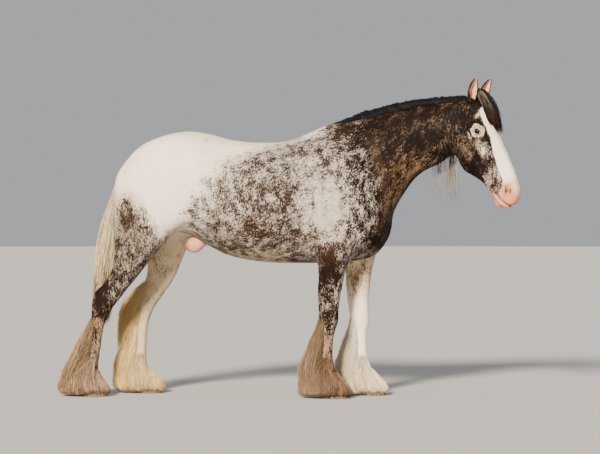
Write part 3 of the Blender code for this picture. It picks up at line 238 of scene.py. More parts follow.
# The head's are in its own space: along the face line, behind it, out from the middle.
HEAD_STROKES = (
    ("socket of the eye", ((0.185, 0.064, 0.095),), 0.066, 0.012),
    ("brow", ((0.145, 0.05, 0.09), (0.195, 0.03, 0.09)), 0.03, 0.008),
    ("hollow over the eye", ((0.122, 0.072, 0.09),), 0.028, -0.006),
    ("cheek", ((0.205, 0.19, 0.08), (0.255, 0.2, 0.078)), 0.085, 0.012),
    ("crest of the face", ((0.225, 0.118, 0.098), (0.29, 0.108, 0.086), (0.36, 0.096, 0.07)), 0.026, 0.006),
    ("hollow under the crest", ((0.28, 0.15, 0.08), (0.43, 0.12, 0.055)), 0.045, -0.007),
    ("hollow beside the nose", ((0.25, 0.06, 0.075), (0.46, 0.045, 0.052)), 0.036, -0.005),
    ("nose bone", ((0.25, 0.0, 0.02), (0.47, 0.0, 0.02)), 0.022, 0.004),
    ("forehead", ((0.11, -0.005, 0.0),), 0.06, 0.006),
    ("outer wing of the nostril",
     ((0.515, 0.05, 0.052), (0.545, 0.08, 0.058), (0.585, 0.086, 0.055)), 0.015, 0.009),
    ("inner wing of the nostril", ((0.525, 0.028, 0.05), (0.585, 0.042, 0.05)), 0.013, 0.008),
    ("nostril",
     ((0.534, 0.046, 0.054), (0.55, 0.054, 0.058), (0.57, 0.064, 0.058), (0.582, 0.066, 0.056)),
     0.015, -0.026),
    ("line of the mouth", ((0.488, 0.15, 0.046), (0.54, 0.138, 0.046), (0.6, 0.117, 0.04),
                           (0.64, 0.1, 0.018), (0.648, 0.098, 0.0)), 0.011, -0.009),
    ("upper lip", ((0.53, 0.12, 0.052), (0.59, 0.098, 0.046), (0.632, 0.08, 0.022)), 0.018, 0.004),
    ("lower lip", ((0.53, 0.158, 0.042), (0.595, 0.138, 0.038), (0.632, 0.118, 0.016)), 0.017, 0.005),
    ("chin", ((0.585, 0.168, 0.0),), 0.04, 0.01),
    ("groove behind the chin", ((0.52, 0.184, 0.0),), 0.032, -0.008),
)
# Folds and veins that only the skin shows.
SKIN_STROKES = (
    ("fold over the eye",
     ((0.205, 0.036, 0.085), (0.18, 0.04, 0.095), (0.158, 0.064, 0.1), (0.158, 0.092, 0.1)),
     0.0065, -0.004),
    ("second fold over the eye",
     ((0.2, 0.024, 0.08), (0.16, 0.034, 0.09), (0.144, 0.062, 0.098)), 0.008, -0.0025),
    ("fold under the eye",
     ((0.226, 0.066, 0.09), (0.222, 0.092, 0.098), (0.2, 0.108, 0.098)), 0.007, -0.0025),
    ("second fold under the eye", ((0.238, 0.07, 0.088), (0.234, 0.1, 0.096)), 0.008, -0.002),
    ("vein down the face", ((0.262, 0.125, 0.088), (0.33, 0.07, 0.07), (0.4, 0.05, 0.056)), 0.007, 0.0018),
    ("branch of the vein", ((0.33, 0.07, 0.07), (0.35, 0.11, 0.068)), 0.006, 0.0015),
    ("fold behind the nostril", ((0.52, 0.03, 0.054), (0.53, 0.07, 0.058)), 0.008, -0.0025),
    ("fold at the corner of the mouth", ((0.474, 0.132, 0.05), (0.484, 0.16, 0.044)), 0.008, -0.003),
    ("second fold at the corner of the mouth", ((0.462, 0.138, 0.05), (0.47, 0.164, 0.044)), 0.007, -0.002),
    ("edge of the jaw", ((0.13, 0.205, 0.07), (0.2, 0.25, 0.07), (0.27, 0.272, 0.066)), 0.016, 0.0025),
)

# Places in the head's own space: the middle of the eye, of the nostril, a corner of the mouth.
EYE = (0.189, 0.069, 0.102)
NOSTRIL = (0.56, 0.06, 0.058)
MOUTH_CORNER = (0.49, 0.15, 0.045)
EYE_RADIUS = 0.025
# Half the length of the opening between the lids, how far that slants to the nose, how far the
# eye faces ahead, how far each lid stands from the opening's middle line, and its rim's thickness.
EYE_OPENING = 0.0225
EYE_SLANT = math.radians(38.0)
EYE_AHEAD = math.radians(16.0)
UPPER_LID = 0.016
LOWER_LID = -0.0138
LID_THICKNESS = 0.0026
# The lids lie on a dome this far off the ball, level past this distance from its middle.
LID_GAP = 0.0012
DOME_RADIUS = 0.0215

# The ear: base and tip in the head's space, how far each ear turns out, how thick its wall is and
# how far it bows to the front, then its sections: share of the height, half width, and how far each
# side of the opening stands from the front, in radians.
EAR_BASE = (0.006, 0.03, 0.06)
EAR_TIP = (-0.08, -0.06, 0.086)
EAR_FACING = {"right": 0.75, "left": -0.45}
EAR_WALL = 0.005
EAR_BOW = -0.01
EAR = (
    (-0.16, 0.024, 0.35),
    (0.08, 0.027, 0.58),
    (0.26, 0.028, 0.9),
    (0.46, 0.026, 1.08),
    (0.68, 0.02, 1.1),
    (0.88, 0.01, 1.05),
    (1.0, 0.003, 1.0),
)

# The hooves: length and width at the floor and at the coronet, how far ahead of the leg the foot
# is at the floor, and how high the coronet is and how far it tilts up to the toe.
HOOF_LENGTH = 0.158
HOOF_WIDTH = 0.146
CORONET_LENGTH = 0.132
CORONET_WIDTH = 0.122
HOOF_AHEAD = 0.022
CORONET_HEIGHT = 0.078
CORONET_TILT = math.radians(16.0)

# The sheath: its middle, its radii and how far its front end is raised.
SHEATH_PLACE = (-0.515, 0.0, 0.858)
SHEATH_RADII = (0.078, 0.044, 0.052)
SHEATH_LEAN = math.radians(18.0)

# Tail sections: x, y, z, half its depth from back to front, half its width.
TAIL = (
    (-0.9, 0.0, 1.33, 0.03, 0.03),
    (-0.944, 0.002, 1.27, 0.03, 0.038),
    (-0.968, 0.004, 1.18, 0.034, 0.052),
    (-0.99, 0.008, 1.07, 0.046, 0.064),
    (-1.02, 0.01, 0.95, 0.06, 0.074),
    (-1.038, 0.012, 0.82, 0.062, 0.076),
    (-1.052, 0.014, 0.7, 0.062, 0.072),
    (-1.062, 0.016, 0.56, 0.058, 0.062),
    (-1.074, 0.018, 0.42, 0.045, 0.045),
    (-1.084, 0.02, 0.3, 0.02, 0.02),
)
# The dock in it: highest and lowest place, and how much of the tail's half sizes it fills.
DOCK_TOP = 1.33
DOCK_END = 0.84
DOCK_SHARE = 0.42

# The feather: height, how far it stands ahead of and behind the leg, half its width.
FEATHER = (
    (0.44, -0.06, 0.025, 0.03),
    (0.37, -0.03, 0.056, 0.046),
    (0.3, -0.006, 0.078, 0.058),
    (0.23, 0.004, 0.098, 0.07),
    (0.16, 0.012, 0.122, 0.082),
    (0.1, 0.03, 0.146, 0.09),
    (0.05, 0.05, 0.148, 0.094),
    (0.004, 0.062, 0.124, 0.092),
)
# Tiers of its hair: name, share of the hairs, how far round from the back, highest and lowest
# root, length, and how far out the hairs spread over the width of the feather.
FEATHER_TIERS = (
    ("back of the cannon", 0.4, 66.0, 0.44, 0.2, 0.25, 1.0),
    ("fetlock", 0.26, 130.0, 0.23, 0.12, 0.19, 1.0),
    ("pastern and coronet", 0.34, 180.0, 0.15, 0.07, 0.19, 1.04),
)
# The far hind leg's feather starts on the back of the hock.
HOCK_TIER = ("back of the hock", 0.2, 75.0, 0.64, 0.4, 0.27, 1.0)
HOCK_FEATHER = (
    (0.64, -0.07, 0.014, 0.03),
    (0.58, -0.06, 0.06, 0.038),
    (0.5, -0.05, 0.092, 0.046),
    (0.42, -0.04, 0.102, 0.052),
    (0.34, -0.02, 0.102, 0.06),
    (0.26, 0.0, 0.104, 0.068),
    (0.16, 0.012, 0.12, 0.08),
)
# How far out a hair stands from its root to its tip: 0 on the leg, 1 at the feather's outline.
FEATHER_SPREAD = (-0.06, 0.5, 0.9, 1.03, 1.06)

# Where the parts of the skin meet: a place on the plane and the way across it. The head's are in
# its own space.
HEAD_CUT = (0.02, 0.2, 0.0)
HEAD_CUT_WAY = (0.62, -0.78, 0.0)
NECK_CUT = np.array((0.44, 0.0, 1.33))
NECK_CUT_WAY = np.array((0.84, 0.0, 0.55))

# Parts of the skin, and where each lies on its unwrap: the side and the foot of its strip.
TRUNK_PART, NECK_PART, HEAD_PART = 0, 1, 2
LEG_PARTS = {("foreleg", -1.0): 3, ("foreleg", 1.0): 4, ("hindleg", -1.0): 5, ("hindleg", 1.0): 6}
STRIPS = ((1.25, 1.0), (3.1, 0.1), (3.1, 1.3), (0.3, 3.4), (0.9, 3.4), (1.55, 3.7), (2.25, 3.7))
# The radius at which each part is rolled out flat, and the girth that this gives it.
UNWRAP_RADII = (0.36, 0.15, 0.1, 0.075, 0.075, 0.075, 0.075)
GIRTHS = np.array(UNWRAP_RADII) * 2.0 * np.pi
# The side of the unwrap in metres, and the share of it that each hair's patch takes.
UNWRAP_SIZE = 4.0
TUFT_PATCH = 0.003

# The flesh nodes that the skin stands for.
FLESH_NODES = ["head", "neck", "torso"] + [
    f"{leg}_{side}_{part}"
    for leg, parts in (("foreleg", ("forearm", "cannon")), ("hindleg", ("thigh", "gaskin", "cannon")))
    for side in SIDES
    for part in parts
]


def srgb(code):
    """A colour given as hex, turned from display values to the linear ones that shaders take."""
    value = np.array([int(code[start:start + 2], 16) / 255.0 for start in (1, 3, 5)])
    return np.where(value <= 0.04045, value / 12.92, ((value + 0.055) / 1.055) ** 2.4)


def swatch(code):
    """The same as three plain numbers, for settings and nodes."""
    return tuple(float(part) for part in srgb(code))


def unit(vectors):
    """Each vector divided by its own length."""
    return vectors / np.maximum(np.linalg.norm(vectors, axis=-1, keepdims=True), 1e-9)


def blend(low, high, amount):
    """Low at amount 0, high at amount 1, and evenly between: low + (high - low) * amount."""
    return low + (high - low) * amount


def step_up(low, high, values):
    """0 below low and 1 above high, with an even rise between: 3t^2 - 2t^3."""
    t = np.clip((values - low) / (high - low), 0.0, 1.0)
    return t * t * (3.0 - 2.0 * t)


def row_values(rows, places):
    """A table's other columns, straight between its rows, where its first column has these values."""
    table = np.array(rows, float)
    table = table[np.argsort(table[:, 0])]
    return [np.interp(places, table[:, 0], column) for column in table.T[1:]]


def row_share(rows, shares):
    """All columns of a table at shares of the way down its rows."""
    table = np.array(rows, float)
    places = np.linspace(0.0, 1.0, len(table))
    return [np.interp(shares, places, column) for column in table.T]


def oval(high, low, half_width, turn, widest=0.5, sharp_high=1.0, sharp_low=1.0):
    """Points on ovals between the two ends of a long axis, as wide as Y.

    The turn is 90 degrees at the high end and 0 on the left. Up is sin(turn) and side is
    cos(turn). The level runs from low (0) through widest to high (1) with up. The width is side
    raised to the sharpness of its half, which draws that half to a ridge where it is over 1.
    """
    up = np.sin(turn)
    side = np.cos(turn)
    level = np.where(up >= 0.0, widest + (1.0 - widest) * up, widest * (1.0 + up))
    sharpness = np.where(up >= 0.0, sharp_high, sharp_low)
    out = np.copysign(np.abs(side) ** sharpness, side) * half_width
    place = low + (high - low) * level[..., None]
    return place + out[..., None] * np.array((0.0, 1.0, 0.0))


def xyz(x, y, z):
    """Places from their three coordinates, whatever the shapes that these have."""
    return np.stack(np.broadcast_arrays(x, y, z), axis=-1).astype(float)


def head_point(along, depth, side):
    """Points in the head's own space: down the face line, behind it, and to the horse's left."""
    x = FACE_START[0] + math.sin(FACE_LEAN) * along - math.cos(FACE_LEAN) * depth
    z = FACE_START[1] - math.cos(FACE_LEAN) * along - math.sin(FACE_LEAN) * depth
    ahead = x - HEAD_PIVOT[0]
    return xyz(
        HEAD_PIVOT[0] + ahead * math.cos(HEAD_TURN) + side * math.sin(HEAD_TURN),
        HEAD_PIVOT[1] - ahead * math.sin(HEAD_TURN) + side * math.cos(HEAD_TURN),
        z,
    )


def head_way(along, depth, side):
    """A way in the head's own space, as a way in the world."""
    return head_point(along, depth, side) - head_point(0.0, 0.0, 0.0)


def both_sides(along, depth, out):
    """A place in the head's own space, on its right and on its left."""
    return [head_point(along, depth, side * out) for side in SIDES.values()]


def in_head(points):
    """The way back: along, depth and side in the head's own space of points in the world."""
    x, y, z = (points - HEAD_PIVOT).T
    ahead = x * math.cos(HEAD_TURN) - y * math.sin(HEAD_TURN)
    side = x * math.sin(HEAD_TURN) + y * math.cos(HEAD_TURN)
    flat_x = HEAD_PIVOT[0] + ahead - FACE_START[0]
    flat_z = HEAD_PIVOT[2] + z - FACE_START[1]
    along = math.sin(FACE_LEAN) * flat_x - math.cos(FACE_LEAN) * flat_z
    depth = -math.cos(FACE_LEAN) * flat_x - math.sin(FACE_LEAN) * flat_z
    return along, depth, side


def leg_at(leg, side, height):
    """The front, the back, the half width and the middle's y of a leg at heights."""
    front, back, half, out = row_values(LEG_ROWS[leg], height)
    lead = row_values(LEAD[leg], height)[0] if side > 0.0 else 0.0
    return front + lead, back + lead, half, side * out


def leg_place(leg, side, height, share, face):
    """A place on a leg at a height, a share of the way from its back to its front."""
    front, back, half, out = leg_at(leg, side, height)
    return xyz(blend(back, front, share), out + side * face * half, height)


def neck_place(share, fall, lift):
    """Places over the neck: from the withers (0) to the poll (1), turned down from the crest to
    the left by an angle, and lifted off it. Also the way out of the neck."""
    crest_x, crest_z, throat_x, throat_z, half, out = row_share(NECK, share)
    crest = xyz(crest_x, out, crest_z)
    throat = xyz(throat_x, out, throat_z)
    place = oval(crest, throat, half, np.radians(90.0 - fall), 0.42, 1.25)
    away = unit(place - blend(throat, crest, 0.55))
    return place + away * lift[..., None], away


def tail_place(height, turn, share):
    """Places in the tail at a height: out from its middle by a share of its half sizes."""
    table = [(row[2], row[0], row[1], row[3], row[4]) for row in TAIL]
    x, y, deep, wide = row_values(table, height)
    out = xyz(np.sin(turn) * deep, np.cos(turn) * wide, 0.0)
    return xyz(x, y, height) + out * share[..., None], unit(out)


def feather_place(leg, side, height, turn, share, rows=FEATHER):
    """Places round the lower leg, from its skin (0) to the tips of the feather (1)."""
    ahead, behind, half = row_values(rows, height)
    front, back, leg_half, out = leg_at(leg, side, height)
    outer = oval(xyz(front + ahead, out, height), xyz(back - behind, out, height), half, turn, 0.45)
    inner = oval(xyz(front, out, height), xyz(back, out, height), leg_half, turn, 0.55)
    middle = xyz((front + back) / 2.0, out, height)
    return blend(inner, outer, share[..., None]), unit(outer - middle)


def full_turn(count):
    """Angles evenly round a circle, in radians."""
    return 2.0 * np.pi * np.arange(count) / count


def add_object(name, data):
    """An object in the scene."""
    obj = bpy.data.objects.new(name, data)
    bpy.context.scene.collection.objects.link(obj)
    return obj


def put_mesh(name, points, quads, triangles):
    """A mesh from whole arrays of points and of the corners of its faces."""
    mesh = bpy.data.meshes.new(name)
    corners = np.concatenate([quads.ravel(), triangles.ravel()]).astype(np.int32)
    sizes = np.concatenate([np.full(len(quads), 4), np.full(len(triangles), 3)])
    mesh.vertices.add(len(points))
    mesh.vertices.foreach_set("co", points.astype(np.float32).ravel())
    mesh.loops.add(len(corners))
    mesh.loops.foreach_set("vertex_index", corners)
    mesh.polygons.add(len(sizes))
    mesh.polygons.foreach_set("loop_start", np.concatenate([[0], np.cumsum(sizes)[:-1]]).astype(np.int32))
    mesh.update(calc_edges=True)
    mesh.shade_smooth()
    return mesh


def lofted(rings):
    """Points, quads and end triangles of a closed skin over rings (R, C, 3). Ring r joins ring
    r + 1 corner by corner, and a fan round the mean of each end ring closes it."""
    count, corners, _ = rings.shape
    grid = np.arange(count * corners).reshape(count, corners)
    after = np.roll(grid, -1, axis=1)
    quads = np.stack([grid[:-1], after[:-1], after[1:], grid[1:]], axis=-1).reshape(-1, 4)
    ends = np.stack([rings[0].mean(axis=0), rings[-1].mean(axis=0)])
    first, last = grid.size, grid.size + 1
    fan_one = np.stack([after[0], grid[0], np.full(corners, first)], axis=-1)
    fan_two = np.stack([grid[-1], after[-1], np.full(corners, last)], axis=-1)
    return np.concatenate([rings.reshape(-1, 3), ends]), quads, np.concatenate([fan_one, fan_two])


def outward(mesh):
    """Turns every face of closed shells outwards."""
    bm = bmesh.new()
    bm.from_mesh(mesh)
    bmesh.ops.recalc_face_normals(bm, faces=bm.faces)
    bm.to_mesh(mesh)
    bm.free()


def loft(name, rings):
    """One closed loft as a mesh."""
    mesh = put_mesh(name, *lofted(rings))
    outward(mesh)
    return mesh


def many_lofts(name, all_rings):
    """Several closed lofts in one mesh."""
    points, quads, triangles = [], [], []
    total = 0
    for rings in all_rings:
        own_points, own_quads, own_triangles = lofted(rings)
        points.append(own_points)
        quads.append(own_quads + total)
        triangles.append(own_triangles + total)
        total += len(own_points)
    mesh = put_mesh(name, np.concatenate(points), np.concatenate(quads), np.concatenate(triangles))
    outward(mesh)
    return mesh


def soften(rings, rounds):
    """Draws each ring but the ends halfway to the mean of its neighbours."""
    for _ in range(rounds):
        rings[1:-1] = (rings[:-2] + 2.0 * rings[1:-1] + rings[2:]) / 4.0
    return rings


def set_values(mesh, name, values):
    """Keeps one number, vector or colour at each point of the mesh."""
    values = np.asarray(values, np.float32)
    if values.ndim == 1:
        kind, field = "FLOAT", "value"
    elif name in ("Light", "Deep", "Tint"):
        kind, field = "FLOAT_COLOR", "color"
        values = np.concatenate([values, np.ones((len(values), 1), np.float32)], axis=1)
    else:
        kind, field = "FLOAT_VECTOR", "vector"
    mesh.attributes.new(name, kind, "POINT").data.foreach_set(field, values.ravel())


def fetch(items, field, width, kind=np.float32):
    """One field of all items of a mesh, a row for each."""
    values = np.empty(len(items) * width, kind)
    items.foreach_get(field, values)
    return values.reshape(-1, width)


def values_of(mesh, name, width):
    """The numbers, vectors or colours kept at the points under a name."""
    field = {1: "value", 3: "vector", 4: "color"}[width]
    return fetch(mesh.attributes[name].data, field, width)[:, :3].astype(float)


def corners_of(mesh):
    """The point at each face corner."""
    return fetch(mesh.loops, "vertex_index", 1, np.int32)[:, 0]


def set_map(mesh, name, places):
    """A UV map from one place for each face corner."""
    layer = mesh.uv_layers.new(name=name)
    layer.uv.foreach_set("vector", places.astype(np.float32).ravel())


def points_of(mesh):
    """The places of the points."""
    return fetch(mesh.vertices, "co", 3).astype(float)


def normals_of(mesh):
    """The way out of the surface at each point."""
    return fetch(mesh.vertices, "normal", 3).astype(float)


def set_points(mesh, points):
    """Moves the points to new places."""
    mesh.vertices.foreach_set("co", points.astype(np.float32).ravel())
    mesh.update()


def piece(mesh, material, nodes=()):
    """The object of a finished mesh, riding on the horse's one body."""
    obj = add_object(mesh.name, mesh)
    mesh.materials.append(material)
    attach(obj, "root")
    if nodes:
        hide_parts(*nodes)
    return obj


def clay_rings():
    """Rings of the trunk, the neck, the head and each leg, before they are joined."""
    turn = full_turn(RING_SIDES)
    x, top, bottom, half, widest, sharp = np.array(TRUNK).T[..., None]
    trunk = oval(xyz(x, 0.0, top), xyz(x, 0.0, bottom), half, turn, widest, sharp)
    crest_x, crest_z, throat_x, throat_z, half, out = np.array(NECK).T[..., None]
    neck = oval(xyz(crest_x, out, crest_z), xyz(throat_x, out, throat_z), half, turn, 0.42, 1.25)
    along, front, jaw_side, bridge, middle, jaw = np.array(HEAD).T[..., None]
    share = np.minimum(turn, 2.0 * np.pi - turn) / np.pi
    control = 2.0 * middle - (bridge + jaw) / 2.0
    width = bridge * (1 - share) ** 2 + control * 2 * share * (1 - share) + jaw * share**2
    width = width * np.sin(np.pi * share) ** 0.62 * np.where(turn <= np.pi, 1.0, -1.0)
    head = head_point(along, blend(front, jaw_side, (1.0 - np.cos(turn)) / 2.0), width)
    rings = [trunk, neck, head]
    for side in SIDES.values():
        for leg, rows in LEG_ROWS.items():
            height = np.array(rows)[:, :1]
            front, back, half, out = leg_at(leg, side, height)
            ahead = xyz(front, out, height)
            behind = xyz(back, out, height)
            rings.append(oval(ahead, behind, half, turn, 0.55, 0.95, 0.95))
    return rings


def egg_rings(place, radii, lean, rows=16, columns=24):
    """Rings of an egg shape leant about the Y axis: radii times the points of a unit ball."""
    rise = np.linspace(0.5 * np.pi / rows, np.pi - 0.5 * np.pi / rows, rows)[:, None]
    turn = full_turn(columns)
    ball = xyz(np.sin(rise) * np.cos(turn), np.sin(rise) * np.sin(turn), np.cos(rise))
    x, y, z = np.moveaxis(ball * np.array(radii), -1, 0)
    return np.array(place) + xyz(
        x * math.cos(lean) - z * math.sin(lean), y, z * math.cos(lean) + x * math.sin(lean)
    )


def apply_modifiers(obj):
    """Gives an object the mesh that its modifiers make, and takes them off."""
    graph = bpy.context.evaluated_depsgraph_get()
    mesh = bpy.data.meshes.new_from_object(obj.evaluated_get(graph))
    obj.modifiers.clear()
    obj.data = mesh


def edges_of(mesh):
    """The points at the first and at the second end of each edge."""
    return fetch(mesh.edges, "vertices", 2, np.int32).T


def spread(mesh, values, rounds, weight):
    """Draws each point's value towards the mean of its neighbours', as far as its weight says."""
    one, other = edges_of(mesh)
    total = len(values)
    weight = np.broadcast_to(weight, total)[:, None]
    count = np.bincount(one, minlength=total) + np.bincount(other, minlength=total)
    values = values.copy()
    for _ in range(rounds):
        mean = np.empty_like(values)
        for axis in range(values.shape[1]):
            mean[:, axis] = np.bincount(one, values[other, axis], total)
            mean[:, axis] += np.bincount(other, values[one, axis], total)
        values += weight * (mean / count[:, None] - values)
    return values


def smooth(mesh, rounds, weight):
    """Smooths the shape of a mesh."""
    set_points(mesh, spread(mesh, points_of(mesh), rounds, weight))


def smoothing_weight(points):
    """The trunk is smoothed in full, the lower legs and the head not at all."""
    leg = np.clip((points[:, 2] - 0.62) / 0.3, 0.0, 1.0)
    head = np.clip((1.02 - points[:, 0]) / 0.16, 0.0, 1.0)
    return 0.5 * np.minimum(leg, head)


def refine(mesh, places, reach):
    """Halves the grain of the faces within reach of any of the places."""
    starts = points_of(mesh)[edges_of(mesh)[0]]
    apart = np.stack([np.linalg.norm(starts - place, axis=1) for place in places])
    near = np.flatnonzero(apart.min(axis=0) < reach)
    bm = bmesh.new()
    bm.from_mesh(mesh)
    bm.edges.ensure_lookup_table()
    bmesh.ops.subdivide_edges(bm, edges=[bm.edges[number] for number in near], cuts=1, use_grid_fill=True)
    bmesh.ops.triangulate(bm, faces=[face for face in bm.faces if len(face.verts) > 4])
    bm.to_mesh(mesh)
    bm.free()
    mesh.update()


def tree_of(mesh):
    """A search tree that finds the closest place on a mesh."""
    bm = bmesh.new()
    bm.from_mesh(mesh)
    tree = BVHTree.FromBMesh(bm)
    bm.free()
    return tree


def path_on(tree, places):
    """Close points along a path through the places, each drawn onto the surface."""
    path = []
    for start, end in zip(places, places[1:] + places[-1:]):
        steps = max(1, round(float(np.linalg.norm(end - start)) / 0.006))
        path += [blend(start, end, step / steps) for step in range(steps)]
    path.append(places[-1])
    return np.array([tree.find_nearest(Vector(point))[0] for point in path])


def stroke(mesh, tree, places, reach, height):
    """Raises the surface by height * (1 - (d / reach)^2)^2, d off the path, less at its ends."""
    path = path_on(tree, places)
    points = points_of(mesh)
    near = ((points > path.min(axis=0) - reach) & (points < path.max(axis=0) + reach)).all(axis=1)
    near = np.flatnonzero(near)
    apart = np.linalg.norm(points[near, None, :] - path[None, :, :], axis=2)
    fade = np.ones(len(path))
    if len(path) > 2:
        fade = np.sin(np.pi * (np.arange(len(path)) + 0.5) / len(path)) ** 0.5
    share = (np.clip(1.0 - (apart / reach) ** 2, 0.0, 1.0) ** 2 * fade).max(axis=1)
    points[near] += normals_of(mesh)[near] * (height * share)[:, None]
    set_points(mesh, points)


def body_strokes():
    """Every stroke of the trunk and legs, both sides, as places, reach and height."""
    strokes = []
    for side in SIDES.values():
        for _, path, reach, height in BODY_STROKES:
            strokes.append(([np.array((x, side * out, z)) for x, out, z in path], reach, height))
        for leg, rows in LEG_STROKES.items():
            for _, path, reach, height in rows:
                strokes.append(([leg_place(leg, side, *place) for place in path], reach, height))
    return strokes


def head_strokes(rows):
    """Every stroke of a table of the head, on both sides."""
    strokes = []
    for side in SIDES.values():
        for _, path, reach, height in rows:
            strokes.append(([head_point(a, d, side * out) for a, d, out in path], reach, height))
    return strokes


def sculpt(mesh, strokes):
    """Applies strokes one after another, with their paths on the surface before the first."""
    tree = tree_of(mesh)
    for places, reach, height in strokes:
        stroke(mesh, tree, places, reach, height)


def eye_axes(side):
    """The eye's middle, and its ways out of the head, to the nose along the lids, and up."""
    centre = head_point(EYE[0], EYE[1], side * (EYE[2] - EYE_RADIUS))
    out = head_way(0.0, 0.0, side)
    nose = head_way(math.cos(EYE_SLANT), -math.sin(EYE_SLANT), 0.0)
    up = head_way(-math.sin(EYE_SLANT), -math.cos(EYE_SLANT), 0.0)
    ahead = out * math.cos(EYE_AHEAD) + nose * math.sin(EYE_AHEAD)
    nose = nose * math.cos(EYE_AHEAD) - out * math.sin(EYE_AHEAD)
    return centre, ahead, nose, up


def dome_level(along_lids, up_lids):
    """Height of the lids' dome over the eye's middle: sqrt(r^2 - d^2), with d at most DOME_RADIUS."""
    gap = np.minimum(np.hypot(along_lids, up_lids), DOME_RADIUS)
    return np.sqrt((EYE_RADIUS + LID_GAP) ** 2 - gap**2)


def open_eyes(mesh):
    """Lays the skin round each eye over the dome of its lids, and sinks it inside their opening,
    which is as high at u as the lid's height times 1 - (u / half length)^2."""
    points = points_of(mesh)
    for side in SIDES.values():
        centre, out, nose, up = eye_axes(side)
        rest = points - centre
        u, v, w = rest @ nose, rest @ up, rest @ out
        apart = np.hypot(u / 0.042, v / 0.036)
        near = step_up(1.0, 0.55, apart) * (w > -0.012)
        height = np.where(v > 0.0, UPPER_LID, -LOWER_LID) * (1.0 - (u / EYE_OPENING) ** 2)
        inside = step_up(1.25, 0.85, np.abs(v) / np.maximum(height, 1e-4)) * near
        target = blend(w, dome_level(u, v), near) - 0.008 * inside
        points += out * (target - w)[:, None]
    set_points(mesh, points)


def make_flesh():
    """The whole body in one closed skin: clay, joined by a voxel remesh, smoothed and sculpted,
    with the grain halved on the head and again round its features."""
    rings = clay_rings()
    for side in SIDES.values():
        for _, (x, out, z), radii, lean in MUSCLES:
            rings.append(egg_rings((x, side * out, z), radii, math.radians(lean)))
    flesh = add_object("flesh", many_lofts("flesh", rings))
    remesh = flesh.modifiers.new("one body", "REMESH")
    remesh.mode = "VOXEL"
    remesh.voxel_size = CLAY_GRAIN
    apply_modifiers(flesh)
    mesh = flesh.data
    bpy.data.objects.remove(flesh)
    smooth(mesh, 40, smoothing_weight(points_of(mesh)))
    sculpt(mesh, body_strokes())
    smooth(mesh, 16, smoothing_weight(points_of(mesh)))
    smooth(mesh, 4, 0.5)
    refine(mesh, [head_point(along, 0.12, 0.0) for along in (0.1, 0.25, 0.4, 0.55)], 0.17)
    smooth(mesh, 3, 0.4)
    refine(mesh, both_sides(*EYE) + both_sides(*NOSTRIL) + both_sides(*MOUTH_CORNER), 0.05)
    refine(mesh, [head_point(0.625, 0.105, 0.0)], 0.06)
    sculpt(mesh, head_strokes(HEAD_STROKES))
    smooth(mesh, 2, 0.4)
    refine(mesh, both_sides(*EYE), 0.034)
    refine(mesh, both_sides(*NOSTRIL), 0.034)
    open_eyes(mesh)
    smooth(mesh, 2, 0.4)
    sculpt(mesh, head_strokes(SKIN_STROKES))
    smooth(mesh, 1, 0.3)
    return mesh


def part_of(points):
    """Which part of the skin each point lies in."""
    x, y, z = points.T
    part = np.full(len(points), TRUNK_PART)
    part[(points - NECK_CUT) @ NECK_CUT_WAY > 0.0] = NECK_PART
    part[(points - head_point(*HEAD_CUT)) @ head_way(*HEAD_CUT_WAY) > 0.0] = HEAD_PART
    # A foreleg starts below the elbow, a hind leg below a line from the stifle up to the buttock.
    for (leg, side), number in LEG_PARTS.items():
        lead = row_values(LEAD[leg], 0.9)[0] if side > 0.0 else 0.0
        if leg == "foreleg":
            inside = (z < 0.86) & (x > 0.1) & (x < 0.8) & (side * y > 0.04)
        else:
            edge = 0.862 + (x - (lead - 0.48)) * (1.16 - 0.862) / (-1.05 - (lead - 0.48))
            inside = (z < np.minimum(edge, 1.16)) & (x < lead - 0.44) & (side * y > 0.01)
        part[inside] = number
    return part


def unwrap(points, part):
    """Each part rolled out flat, in metres: the angle round its axis times its radius,
    and the distance along it, the way that its hair lies. The seams run along the belly, the
    throat, the jaw and the inside of each leg."""
    x, y, z = points.T
    across = np.arctan2(y, z - 1.1) * UNWRAP_RADII[TRUNK_PART]
    down = -x
    start = np.array((0.42, 0.0, 1.28))
    along = unit(np.array((0.58, -0.02, 0.25)))
    rest = points - start
    crest = rest @ np.array((-0.39, 0.0, 0.92))
    across = np.where(part == NECK_PART, np.arctan2(y, crest) * UNWRAP_RADII[NECK_PART], across)
    down = np.where(part == NECK_PART, -(rest @ along), down)
    head_along, depth, side = in_head(points)
    head_turn = np.arctan2(side, 0.11 - depth)
    across = np.where(part == HEAD_PART, head_turn * UNWRAP_RADII[HEAD_PART], across)
    down = np.where(part == HEAD_PART, head_along, down)
    for (leg, leg_side), number in LEG_PARTS.items():
        front, back, _, out = leg_at(leg, leg_side, z)
        angle = np.arctan2(x - (front + back) / 2.0, leg_side * (y - out))
        across = np.where(part == number, angle * UNWRAP_RADII[number], across)
        down = np.where(part == number, -z, down)
    return np.stack([across, down], axis=-1)


def coat_lie(points, part):
    """The way that the coat lies: back and down the trunk, down the neck, breast and quarters,
    down the face, and down the legs."""
    x = points[:, 0]
    back = np.array((-1.0, 0.0, -0.38))
    quarters = np.array((-0.4, 0.0, -1.0))
    breast = np.array((-0.25, 0.0, -1.0))
    lie = back + (quarters - back) * step_up(-0.6, -0.9, x)[:, None]
    lie = lie + (breast - lie) * step_up(0.36, 0.52, x)[:, None]
    lie[part == NECK_PART] = (-0.8, 0.0, -0.6)
    lie[part == HEAD_PART] = head_way(1.0, 0.12, 0.0)
    lie[part >= min(LEG_PARTS.values())] = (-0.05, 0.0, -1.0)
    return unit(lie)


# The least and the most of the coat that is dark anywhere.
LEAST_DARK = 0.004
MOST_DARK = 0.985
